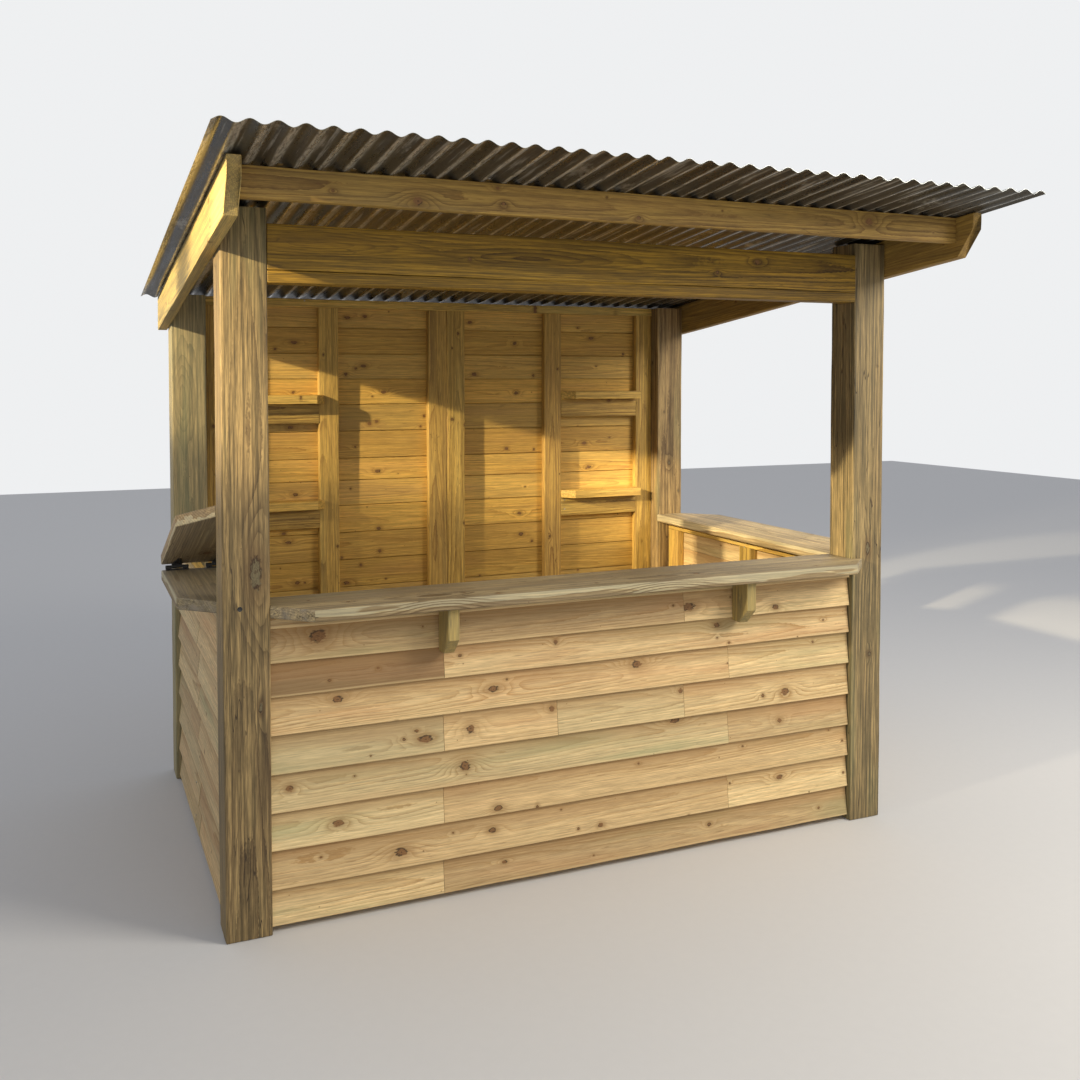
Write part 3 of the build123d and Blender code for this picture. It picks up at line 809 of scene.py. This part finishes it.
# Knots seen on the back boards: along the bar and height
back_knots = [
    (0.773, 1.980), (0.855, 1.987), (0.531, 1.864), (0.765, 1.722), (0.848, 1.760), (0.942, 1.640), (0.874, 1.494),
    (0.908, 1.504), (0.513, 1.484), (1.389, 1.722), (1.366, 1.970), (1.597, 1.872), (1.553, 1.362), (0.912, 1.274),
    (0.916, 1.009), (0.920, 0.903), (0.830, 0.843), (0.479, 1.008), (0.499, 0.967), (0.531, 1.181), (0.537, 0.782),
    (0.762, 0.765), (2.010, 1.903), (1.957, 1.778), (2.037, 1.689), (1.971, 1.380), (1.604, 1.632), (1.998, 1.259),
    (1.622, 1.044), (1.911, 0.789), (1.630, 0.941),
]


def wall_boards(node, name, body, kind, origin, along, out, length, top, lips, seed, ends=None, knots=(),
                spread=0.35, warm=0.35, lap_high=11.5 * MM):
    """Dresses a wall with its boards: each course is one board, or several butted at the given places.

    Knots are given along the wall, by height and by radius, and each gets a stretch along the grain.
    """
    gap = sizes().butt / 2
    pile = Pile()
    for course, bottom in enumerate(lips):
        if bottom >= top - 12 * MM:
            break
        rise = (lips[course + 1] if course + 1 < len(lips) else bottom + 120 * MM) - bottom
        begin = 0.0
        for k, (stop, light, warmth) in enumerate(ends[course] if ends else [(length, None, None)]):
            number = seed + 31 * course + 7 * k
            tone = tone_draw(number, spread, warm)
            if light is not None:
                tone = (light, warmth, tone[2])
            stop = min(stop, length)
            mine = [(u, z, r, 0.8 + (37 * u + 53 * z) % 0.9) for u, z, r in knots
                    if begin < u < stop and bottom < z < bottom + rise]
            lapped_board(pile, origin, along, out, begin + (gap if k else 0), stop - (gap if stop < length else 0),
                         bottom, top, rise, number, tone, mine, lap_high)
            begin = stop
    pile.build(name, body, node, kind)


def solids_of(node):
    """Boxes of a node's separate solids, from the parts of its mesh that share points."""
    mesh = frame["nodes"][node].data
    places = np.empty(len(mesh.vertices) * 3)
    mesh.vertices.foreach_get("co", places)
    corners = np.empty(len(mesh.loops), dtype=np.int32)
    mesh.loops.foreach_get("vertex_index", corners)
    unique, index = np.unique(np.round(places.reshape(-1, 3), 5), axis=0, return_inverse=True)
    faces = index.ravel()[corners].reshape(-1, 3)
    label = np.arange(len(unique))
    settled = False
    while not settled:
        fresh = label.copy()
        for k in range(3):
            np.minimum.at(fresh, faces[:, k], label[faces].min(axis=1))
        fresh = fresh[fresh]
        settled = np.array_equal(fresh, label)
        label = fresh
    return [(unique[label == k].min(axis=0), unique[label == k].max(axis=0)) for k in np.unique(label)]


def framed(node, name, seed, along, spread=0.4, warmer=0.0):
    """The timbers of one framing node, each made anew in its own box."""
    pile = Pile()
    for k, (low, high) in enumerate(solids_of(node)):
        light, warmth, rings = tone_draw(seed + k, spread, 0.25)
        timber(pile, low, high, along, seed + 13 * k, tone=(light, warmth + warmer, rings))
    pile.build(name, "bar", node, "framing")


def plank(node, name, outline, seed, grain, **look):
    """One plank of the bar tops, made lying at their height."""
    slab(node, name, outline, plank_under, plank_top, 2, seed, grain, sizes().plank_arris, "plank", **look)


def raised(back, up):
    """Where a place of the shut flap goes as it turns up about its pin, from its offsets behind and above the pin."""
    pin_y, pin_z = flap_hinge["pos_m"][1:]
    return (pin_y + back * math.cos(flap_turn) - up * math.sin(flap_turn),
            pin_z + back * math.sin(flap_turn) + up * math.cos(flap_turn))


def turned(profile, centre, normal, segments):
    """Points of a profile turned about a normal at a centre, its radii and heights given in millimetres."""
    normal = np.asarray(normal, float)
    normal = normal / np.linalg.norm(normal)
    side = np.cross(normal, (0.0, 0.0, 1.0) if abs(normal[2]) < 0.9 else (1.0, 0.0, 0.0))
    side /= np.linalg.norm(side)
    angles = np.arange(segments)[None, :, None] * 2 * np.pi / segments
    radius, height = np.asarray(profile, float).T[..., None, None] * MM
    ring = np.cos(angles) * side + np.sin(angles) * np.cross(normal, side)
    return (np.asarray(centre, float) + radius * ring + height * normal).reshape(-1, 3)


def heads(name, body, places, profile, finish, segments=14):
    """Like screw heads at many places, as one mesh."""
    points, faces = [], []
    rings = len(profile)
    for k, (centre, normal) in enumerate(places):
        first = k * rings * segments
        points.append(turned(profile, centre, normal, segments))
        faces += (tube_quads(rings, segments) + first).tolist()
        faces.append((np.arange(segments)[::-1] + first).tolist())
        faces.append((np.arange(segments) + first + (rings - 1) * segments).tolist())
    mesh = bpy.data.meshes.new(name)
    mesh.from_pydata(np.concatenate(points), [], faces)
    settle(mesh, name, body, [], [finish], 35.0)


# Operators


class TIMBERBAR_OT_posts(bpy.types.Operator):
    """Four square posts with eased, slightly wandering corners and drying checks"""
    bl_idname = "timberbar.posts"
    bl_label = "Posts"

    def execute(self, context):
        # Each post's pith, from its low corner, its tone, and the knots on its front face
        looks = {
            "post_front_left": ((0.070, 0.200), (-0.22, -0.05, 0.8),
                                [(1.118, x_left + 0.097, 0.0175, 2.4), (0.706, x_left + 0.109, 0.006, 2.0)]),
            # The front right post's tone is darker as painted shade under the roof
            "post_front_right": ((0.200, 0.180), (-0.25, -0.2, 0.9),
                                 [(1.050, x_in_right + 0.072, 0.010, 2.0), (0.640, x_in_right + 0.085, 0.007)]),
            "post_back_left": ((0.050, 0.200), (0.3, -0.6, 0.9), [(1.630, x_left + 0.040, -0.020, 1.5)]),
            "post_back_right": ((0.060, 0.215), (0.0, 0.1, 1.0), [(1.275, x_in_right + 0.067, 0.008)]),
        }
        for k, (node, (pith, tone, knots)) in enumerate(looks.items()):
            lone_timber(node, node.replace("post_", "") + "_post", 2, 40 + k, tone, "post", knots=knots,
                        radius=sizes().post_arris, pith=box(node)[0][:2] + pith, step=0.06)
        return {"FINISHED"}


class TIMBERBAR_OT_roof_timbers(bpy.types.Operator):
    """Rafters with a splayed nose, the fascia between them, and the header with its flat plate"""
    bl_idname = "timberbar.roof_timbers"
    bl_label = "Roof timbers"

    def execute(self, context):
        nose_plumb, nose_back, deep = 55 * MM, 72 * MM, 140 * MM / math.cos(ROOF_PITCH)
        # The right rafter's tone is darker as painted shade from the fascia and roof
        for k, (side, tone) in enumerate({"left": (0.02, -0.55, 1.1), "right": (-0.45, 0.3, 1.1)}.items()):
            low, high = box("rafter_" + side)

            def nose(z, x):
                """The nose is plumb for its upper part and then runs back to the underside."""
                return np.clip(high[2] - z - nose_plumb, 0, None) * nose_back / (deep - nose_plumb)

            def fall(points):
                """The rafter falls back from its nose at the roof's pitch."""
                points[:, 2] -= (points[:, 1] - low[1]) * slope
                return points

            lone_timber("rafter_" + side, side + "_rafter", 1, 60 + k, tone, low=(low[0], low[1], high[2] - deep),
                        cut_low=nose, bend=fall)

        low, high = box("fascia_beam")

        def bevel(points):
            """The fascia's top follows the roof's pitch."""
            share = np.clip((points[:, 2] - low[2]) / (high[2] - low[2]), 0, 1)
            points[:, 2] -= (points[:, 1] - low[1]) * slope * share
            return points

        knots = [(x_left + 0.497, 2.203, 0.011), (x_left + 2.089, 2.233, 0.012), (x_left + 0.255, 2.216, 0.004)]
        # The fascia's tone is darker and warmer as painted shade under the roof
        lone_timber("fascia_beam", "fascia", 0, 64, (-0.42, 0.3, 1.0), knots=knots, knot_axis=2, bend=bevel)
        knots = [(x_left + 1.889, 2.125, 0.008), (x_left + 0.33, 2.110, -0.013, 3.5),
                 (x_left + 1.02, 2.095, -0.015, 4.0)]
        lone_timber("header_board", "header", 0, 66, (-0.05, 0.0, 1.1), "beam", knots=knots, knot_axis=2)
        lone_timber("header_plate", "header_flat", 0, 68, (-0.12, 0.0, 0.9), "beam")
        return {"FINISHED"}


class TIMBERBAR_OT_siding(bpy.types.Operator):
    """Lapped boards of the half walls and the door, each a separate board with its own grain"""
    bl_idname = "timberbar.siding"
    bl_label = "Siding"

    def execute(self, context):
        ends = [[(x - POST_WIDTH, light, warmth) for x, light, warmth in row] for row in front_boards]
        knots = [(x - POST_WIDTH, z, radius) for x, z, radius in front_knots]
        wall_boards("front_cladding", "front_siding", "bar", "siding", (x_in_left, y_front + WALL_BACK, 0), (1, 0, 0),
                    (0, -1, 0), x_in_right - x_in_left - sizes().end_gap, plank_under, half_lips, 1000, ends, knots)
        # The side walls and the door: the posts' outer face, and which way along x it looks
        sides = {
            "right": ("bar", x_right, 1, plank_under, 2000),
            "left": ("bar", x_left, -1, plank_under, 3000),
            "door": ("door", x_left, -1, box("door_cladding")[1][2], 4000),
        }
        for side, (body, face, out, top, seed) in sides.items():
            low, high = box(side + "_cladding")
            wall_boards(side + "_cladding", side + "_siding", body, "siding", (face - out * WALL_BACK, low[1], 0),
                        (0, 1, 0), (out, 0, 0), high[1] - low[1], top, half_lips, seed)
        return {"FINISHED"}


class TIMBERBAR_OT_wall_frames(bpy.types.Operator):
    """Plates and studs of the half walls, and the door's stiles and rails"""
    bl_idname = "timberbar.wall_frames"
    bl_label = "Wall frames"

    def execute(self, context):
        for k, (wall, plates_along) in enumerate({"front": 0, "right": 1, "left": 1}.items()):
            framed(wall + "_plates", wall + "_wall_plates", 80 + 10 * k, plates_along)
            framed(wall + "_studs", wall + "_wall_studs", 85 + 10 * k, 2)
        low, high = box("door_frame")
        inner_low, inner_high = low + STUD_WIDTH, high - STUD_WIDTH
        # Stiles and rails by the axis along them, their seed, and their low and high corners in y and z
        members = [
            (2, 120, (low[1], low[2]), (inner_low[1], high[2])),
            (2, 121, (inner_high[1], low[2]), (high[1], high[2])),
            (1, 124, (inner_low[1], low[2]), (inner_high[1], inner_low[2])),
            (1, 125, (inner_low[1], inner_high[2]), (inner_high[1], high[2])),
        ]
        pile = Pile()
        for along, seed, first, last in members:
            timber(pile, (low[0], *first), (high[0], *last), along, seed, tone=tone_draw(seed))
        pile.build("door_stiles_and_rails", "door", "door_frame", "framing")
        return {"FINISHED"}


class TIMBERBAR_OT_back_wall(bpy.types.Operator):
    """Back wall: boards with their flat backs inwards, plates, studs, shelves and ledgers"""
    bl_idname = "timberbar.back_wall"
    bl_label = "Back wall"

    def execute(self, context):
        low, high = box("back_cladding")
        wall_boards("back_cladding", "back_boards", "bar", "back", (x_in_left, low[1], 0), (1, 0, 0), (0, 1, 0),
                    x_in_right - x_in_left, high[2], back_lips, 5000,
                    knots=[(x - POST_WIDTH, z, 0.007) for x, z in back_knots], spread=0.22, warm=0.25,
                    lap_high=9.5 * MM)
        framed("back_plates", "back_wall_plates", 140, 0)
        framed("back_studs_left", "back_wall_studs_left", 150, 2, 0.15, 0.35)
        framed("back_studs_right", "back_wall_studs_right", 160, 2, 0.15, 0.35)
        framed("shelf_ledgers", "ledgers", 170, 0)
        return {"FINISHED"}


class TIMBERBAR_OT_shelves(bpy.types.Operator):
    """Four short shelves with clipped front corners"""
    bl_idname = "timberbar.shelves"
    bl_label = "Shelves"

    def execute(self, context):
        stud_front = box("back_studs_left")[0][1]
        for k, place in enumerate(("upper_left", "lower_left", "upper_right", "lower_right")):
            low, high = box("shelf_" + place)
            if place.endswith("left"):
                clip, lap = 38 * MM, 18 * MM
                outline = [(low[0], low[1]), (high[0] - clip, low[1]), (high[0], low[1] + clip),
                           (high[0], stud_front), (high[0] - lap, stud_front), (high[0] - lap, high[1]),
                           (low[0], high[1])]
            else:
                clip = stud_front - low[1]
                outline = [(low[0] + clip, low[1]), (high[0], low[1]), (high[0], high[1]), (low[0], high[1]),
                           (low[0], low[1] + clip)]
            slab("shelf_" + place, place + "_shelf", outline, low[2], high[2], 2, 180 + k, 0,
                 tone=(0.45, 0.1, 0.9), end_cut=0.55)
        return {"FINISHED"}


class TIMBERBAR_OT_bar_tops(bpy.types.Operator):
    """Plank bar tops with rounded edges, and the two brackets under the front one"""
    bl_idname = "timberbar.bar_tops"
    bl_label = "Bar tops"

    def execute(self, context):
        edge, end = y_front - FRONT_OVER, x_in_right + 45 * MM
        outline = [(x_in_left, y_in_front), (x_in_left, y_front), (x_in_left + FRONT_OVER, edge),
                   (end - FRONT_OVER, edge), (end, y_front), (x_in_right, y_front), (x_in_right, y_in_front)]
        # The heart runs just behind the front edge, so that the edge is strongly figured
        plank("front_bar_top", "front_plank", outline, 200, 0, pith=(edge + 0.075, plank_under - 0.035),
              tone=(0.0, -0.1, 1.25), knots=[(x_left + 1.62, edge + 0.08, 0.009)],
              edge_knots=[(x_left + 0.65, plank_under + 0.012, -0.017, 1.9),
                          (x_left + 1.47, plank_under + 0.008, -0.016, 2.4)])

        back, outer = box("left_bar_top")[1][1], x_left - LEFT_OVER
        outline = [(x_in_left, y_in_front), (x_in_left, back), (outer, back), (outer, y_in_front + LEFT_OVER),
                   (x_left, y_in_front)]
        # The left plank's tone is darker as painted shade
        plank("left_bar_top", "left_plank", outline, 210, 1, tone=(-0.55, -0.4, 1.0))

        outer = x_right + RIGHT_OVER
        outline = [(x_in_right, y_in_front), (x_right, y_in_front), (outer, y_in_front + RIGHT_OVER),
                   (outer, y_in_back - RIGHT_OVER), (x_right, y_in_back), (x_in_right, y_in_back)]
        # The right plank's tone is lighter as painted sunlight
        plank("right_bar_top", "right_plank", outline, 220, 1, tone=(0.95, 0.05, 1.0))

        # The brackets reach a little lower than the frame's
        nose, lower = 102 * MM, 13 * MM
        for k, side in enumerate(("left", "right")):
            low, high = box("bracket_" + side)
            foot = low[2] - lower
            outline = [(low[1], high[2]), (low[1], high[2] - nose), (low[1] + (high[2] - foot - nose), foot),
                       (high[1], foot), (high[1], high[2])]
            slab("bracket_" + side, side + "_bracket", outline, low[0], high[0], 0, 230 + k, 2,
                 tone=(-0.2, -0.7, 0.8))
        return {"FINISHED"}


class TIMBERBAR_OT_flap(bpy.types.Operator):
    """The lifting counter flap, made lying shut and turned up about its pin"""
    bl_idname = "timberbar.flap"
    bl_label = "Counter flap"

    def execute(self, context):
        pin_y, pin_z = flap_hinge["pos_m"][1:]
        y0, y1 = pin_y + 3 * MM, y_in_back - 7 * MM
        outer = x_left - LEFT_OVER
        outline = [(x_in_left, y0), (x_in_left, y1), (x_left, y1), (outer, y1 - LEFT_OVER), (outer, y0)]

        def lift(points):
            """Turns the shut flap up about the pin."""
            points[:, 1], points[:, 2] = raised(points[:, 1] - pin_y, points[:, 2] - pin_z)
            return points

        plank("counter_flap", "raised_flap", outline, 240, 1, tone=(-0.1, 0.1, 1.0), body="flap", bend=lift,
              knots=[(y0 + 0.16, x_left + 0.03, 0.012)], end_cut=0.55)
        return {"FINISHED"}


class TIMBERBAR_OT_roof_sheet(bpy.types.Operator):
    """Corrugated steel sheet with slightly uneven waves"""
    bl_idname = "timberbar.roof_sheet"
    bl_label = "Roof sheet"

    def execute(self, context):
        low, high = box("roof_sheet")
        deep, thick, upright = 12.7 * MM, 0.8 * MM, math.cos(ROOF_PITCH)
        across = np.arange(low[0], high[0] + SHEET_PITCH / 28, SHEET_PITCH / 14)
        across[-1] = high[0]
        x, share = np.meshgrid(across, np.linspace(0, 1, 38))
        phase = 2 * np.pi * (x - sheet_crest()) / SHEET_PITCH
        # Dents: slow sags along each wave, and a sharper wander near the free front edge
        wave = np.floor((x - sheet_crest()) / SHEET_PITCH + 0.5)
        sag = ripple(share * 2.3 + wave * 0.37, 300, 0.9, sizes().dent)
        sag += np.exp(-share * 14) * ripple(x, 302, 0.16, 1.3 * sizes().dent)
        held = np.clip(np.minimum(share, 1 - share) * 12, 0.35, 1)
        shift = ripple(share * 2.3, 304, 1.4, 0.8 * MM) * np.sin(phase)
        height = (deep / 2 * np.cos(phase) + np.clip(sag * held, -0.5 * MM, None)
                  + np.clip(shift, -0.3 * MM, 0.3 * MM))
        # The sheet falls back at the roof's pitch, its thickness measured square to it
        back = share * (high[1] - low[1])
        front = high[2] - thick - deep + deep / 2 / upright
        points = [np.stack([x, low[1] + back, front - back * slope + up / upright], axis=-1).reshape(-1, 3)
                  for up in (height, height + thick)]
        index = np.arange(x.size).reshape(x.shape)
        under = np.stack([index[:-1, :-1], index[1:, :-1], index[1:, 1:], index[:-1, 1:]], axis=-1).reshape(-1, 4)
        upper = under[:, ::-1] + x.size
        loop = np.concatenate([index[0], index[1:, -1], index[-1, -2::-1], index[-2:0:-1, 0]])
        ahead = np.roll(loop, -1)
        rim = np.stack([loop, ahead, ahead + x.size, loop + x.size], axis=-1)
        faces = np.concatenate([under, upper, rim])
        mesh = bpy.data.meshes.new("corrugated_sheet")
        mesh.from_pydata(np.concatenate(points), [], faces.tolist())
        mesh.polygons.foreach_set("material_index", (np.arange(len(faces)) < len(under)).astype(np.int32))
        c = colours()
        top, underside = galvanised("galvanised_top", c.steel, False), galvanised(
            "galvanised_underside", c.steel_under_shaded, True)
        settle(mesh, "corrugated_sheet", "bar", ["roof_sheet"], [top, underside], 50.0)
        return {"FINISHED"}


class TIMBERBAR_OT_hinges(bpy.types.Operator):
    """Black tee hinges of the flap and the door"""
    bl_idname = "timberbar.hinges"
    bl_label = "Hinges"

    def execute(self, context):
        for node in ("flap_hinges_fixed", "flap_hinges_moving", "door_hinges_fixed", "door_hinges_moving"):
            mesh = frame["nodes"][node].data
            mesh.materials.clear()
            mesh.materials.append(finishes_for("hinge")[0])
        return {"FINISHED"}


class TIMBERBAR_OT_fixings(bpy.types.Operator):
    """Screw heads on boards, ledgers and hinges, and roofing screws with washers on the sheet's crests"""
    bl_idname = "timberbar.fixings"
    bl_label = "Fixings"

    def execute(self, context):
        zinc, black = zinc_screw("zinc_plate"), finishes_for("hinge")[0]
        left, inwards, fore, upright = (-1.0, 0.0, 0.0), (1.0, 0.0, 0.0), (0.0, -1.0, 0.0), (0.0, 0.0, 1.0)
        # Profiles of the heads, as radius and height in millimetres
        wafer = [(4.2, -1.0), (4.2, 0.4), (3.2, 1.1), (1.7, 1.3), (1.4, 0.6)]
        recess = [(7.5, -1.0), (7.5, 1.2), (6.6, 1.5), (5.5, 0.9)]
        pan = [(3.6, -1.0), (3.6, 0.4), (2.6, 1.2), (1.3, 1.3), (1.1, 0.7)]
        washer = [(9.0, -2.0), (9.0, 0.6), (7.4, 1.6), (5.4, 1.8), (5.2, 5.4), (4.3, 6.2)]

        ledger_face = box("shelf_ledgers")[0][1]
        seen = [((x_left + 1.847, ledger_face, 1.103), fore), ((x_left + 1.847, ledger_face, 1.058), fore),
                ((x_left + 0.572, box("back_studs_left")[0][1], 2.049), fore),
                ((box("right_plates")[0][0], y_front + 0.822, 0.940), left)]
        heads("frame_screws", "bar", seen, wafer, zinc)
        board_face = x_left + 17 * MM
        seen = [((board_face, y_front + 0.905, 0.186), left),
                ((board_face - 1.5 * MM, y_front + 0.918, 0.057), left)]
        heads("door_board_screws", "door", seen, wafer, zinc)
        # A black disc with a raised rim on the front left post stands for a hole: painted shade
        heads("post_bolt", "bar", [((x_left + 0.050, y_front, 1.013), fore)], recess, black, 20)

        # Hinges: three screws across each crosspiece and three down each strap
        spread, fore_of_pin = (-28 * MM, 0.0, 28 * MM), 17 * MM
        strap = ((22 * MM, 8 * MM), (50 * MM, 0.0), (82 * MM, 0.0))
        flap_pin, door_pin = flap_hinge["pos_m"], door_hinge["pos_m"]
        leaf_top, leaf_face = plank_top + 2.5 * MM, door_pin[0] - 6.5 * MM
        leant = (0.0, -math.sin(flap_turn), math.cos(flap_turn))
        fixed, lifted, hung = [], [], []
        for low, high in solids_of("flap_hinges_fixed"):
            middle = (low[0] + high[0]) / 2
            fixed += [((middle + d, flap_pin[1] - fore_of_pin, leaf_top), upright) for d in spread]
            lifted += [((middle + side, *raised(run, leaf_top - flap_pin[2])), leant) for run, side in strap]
        for low, high in solids_of("door_hinges_fixed"):
            middle = (low[2] + high[2]) / 2
            fixed += [((leaf_face, door_pin[1] - fore_of_pin, middle + d), inwards) for d in spread]
            hung += [((leaf_face, door_pin[1] + run, middle + side), inwards) for run, side in strap]
        heads("hinge_screws_fixed", "bar", fixed, pan, black)
        heads("hinge_screws_flap", "flap", lifted, pan, black)
        heads("hinge_screws_door", "door", hung, pan, black)

        # Roofing screws on the crests over the fascia and the rafters
        low, high = box("roof_sheet")
        up = (0.0, math.sin(ROOF_PITCH), math.cos(ROOF_PITCH))

        def on_sheet(x, y):
            """The top of the nearest crest at a place in plan."""
            x = sheet_crest() + round((x - sheet_crest()) / SHEET_PITCH) * SHEET_PITCH
            return (x, y, high[2] - (y - low[1]) * slope), up

        near, far = box("fascia_beam")
        row = (near[1] + far[1]) / 2
        places = [on_sheet(x, row) for x in np.arange(near[0] + 0.1, far[0], 3 * SHEET_PITCH)]
        for node in ("rafter_left", "rafter_right"):
            near, far = box(node)
            middle = (near[0] + far[0]) / 2
            places += [on_sheet(middle, y) for y in np.linspace(near[1] + 0.10, far[1] - 0.08, 6)]
        heads("roof_screws", "bar", places, washer, zinc)
        return {"FINISHED"}


class TIMBERBAR_OT_stage(bpy.types.Operator):
    """Pale floor, soft lights and the camera at the photographed angle"""
    bl_idname = "timberbar.stage"
    bl_label = "Stage"

    def execute(self, context):
        scene = context.scene

        def stand(name, data):
            thing = bpy.data.objects.new(name, data)
            scene.collection.objects.link(thing)
            return thing

        reach, under = 14.0, -1.5 * MM
        mesh = bpy.data.meshes.new("floor")
        mesh.from_pydata([(-reach, -reach, under), (reach, -reach, under), (reach, reach, under),
                          (-reach, reach, under)], [], [(0, 1, 2, 3)])
        mesh.materials.append(stage_finish("pale_floor", (0.62, 0.61, 0.59)))
        floor = stand("floor", mesh)

        # The camera and mirrors see a pale backdrop, and the object is lit by a cooler one
        world = bpy.data.worlds.new("soft_sky")
        scene.world = world
        world.use_nodes = True
        world.node_tree.nodes.clear()
        t = Tree(world.node_tree)
        path = t.put("ShaderNodeLightPath")
        lit = t.put("ShaderNodeBackground", [("Color", (0.86, 0.90, 1.0)), ("Strength", 0.57)])
        seen = t.put("ShaderNodeBackground", [("Color", (0.86, 0.87, 0.88))])
        mirrored = t.math("MAXIMUM", path.beside("Is Glossy Ray"), path.beside("Is Transmission Ray"))
        shown = t.math("MAXIMUM", path.beside("Is Camera Ray"), mirrored)
        sky = t.put("ShaderNodeMixShader", [(0, shown), (1, lit), (2, seen)])
        t.feed(t.tree.nodes.new("ShaderNodeOutputWorld").inputs["Surface"], sky)

        def lamp(name, kind, place, aim, energy, colour, spread, soft=0.32):
            """A spot whose beam is spread degrees wide, or a square area light whose side is spread."""
            light = bpy.data.lights.new(name, kind)
            light.energy = energy
            light.color = colour
            if kind == "SPOT":
                light.spot_size = math.radians(spread)
                light.spot_blend = 0.45
                light.shadow_soft_size = soft
            else:
                light.size = spread
            thing = stand(name, light)
            x, y, z = np.asarray(aim, float) - np.asarray(place, float)
            thing.location = place
            thing.rotation_euler = (math.pi / 2 + math.atan2(z, math.hypot(x, y)), 0.0, -math.atan2(x, y))

        # A low warm key from the left: a soft wide beam above the bar tops, and narrow ones on the back left post
        # with the rafter's rear, on the right end of the bar top and, from nearer the front, on the front left post
        key = (-10.25, -2.3, 4.85)
        lamp("key_wide", "SPOT", key, (-0.51, -0.05, 2.815), 3000.0, (1.0, 0.87, 0.66), 24)
        lamp("key_back", "SPOT", key, (-1.25, 0.9, 2.05), 6600.0, (1.0, 0.88, 0.62), 7, 0.08)
        lamp("key_right", "SPOT", (-8.9, -2.4, 4.7), (1.1, -0.33, 1.18), 6500.0, (1.0, 0.86, 0.58), 3.6, 0.06)
        lamp("key_front", "SPOT", (-8.8, -4.0, 4.45), (-1.2, -0.5, 1.92), 7600.0, (1.0, 0.85, 0.56), 7.2, 0.1)
        lamp("fill_from_right", "AREA", (3.2, -3.6, 3.9), (0.2, -0.4, 0.7), 240.0, (1.0, 0.94, 0.84), 2.2)
        lamp("fill_from_front", "AREA", (-1.0, -4.2, 1.9), (-0.1, 0.6, 1.6), 15.0, (1.0, 0.9, 0.72), 2.0)

        camera = bpy.data.cameras.new("camera")
        camera.sensor_width = 36.0
        camera.lens = 36.83
        camera.shift_y = -0.1130
        camera.clip_end = 100.0
        thing = stand("camera", camera)
        thing.location = (-1.6954, -3.8753, 1.7064)
        thing.rotation_euler = (math.pi / 2 - 0.0365, 0.0, -0.4118)
        scene.camera = thing
        scene.view_settings.view_transform = "Standard"
        return {"FINISHED"}


class TIMBERBAR_PT_panel(bpy.types.Panel):
    bl_label = "Timber bar"
    bl_idname = "TIMBERBAR_PT_panel"
    bl_space_type = "VIEW_3D"
    bl_region_type = "UI"
    bl_category = "Timber bar"

    def draw(self, context):
        for operator in OPERATORS:
            self.layout.operator(operator.bl_idname)
        for group in (context.scene.timber_bar_sizes, context.scene.timber_bar_colours):
            for key in group.__annotations__:
                self.layout.prop(group, key)


OPERATORS = [
    TIMBERBAR_OT_posts,
    TIMBERBAR_OT_roof_timbers,
    TIMBERBAR_OT_siding,
    TIMBERBAR_OT_wall_frames,
    TIMBERBAR_OT_back_wall,
    TIMBERBAR_OT_shelves,
    TIMBERBAR_OT_bar_tops,
    TIMBERBAR_OT_flap,
    TIMBERBAR_OT_roof_sheet,
    TIMBERBAR_OT_hinges,
    TIMBERBAR_OT_fixings,
    TIMBERBAR_OT_stage,
]
CLASSES = [TimberBarSizes, TimberBarColours, *OPERATORS, TIMBERBAR_PT_panel]


def register():
    for cls in CLASSES:
        bpy.utils.register_class(cls)
    bpy.types.Scene.timber_bar_sizes = bpy.props.PointerProperty(type=TimberBarSizes)
    bpy.types.Scene.timber_bar_colours = bpy.props.PointerProperty(type=TimberBarColours)


def unregister():
    del bpy.types.Scene.timber_bar_colours
    del bpy.types.Scene.timber_bar_sizes
    for cls in reversed(CLASSES):
        bpy.utils.unregister_class(cls)


def main():
    register()
    for operator in OPERATORS:
        group, name = operator.bl_idname.split(".")
        getattr(getattr(bpy.ops, group), name)()


if __name__ == "__main__":
    main()
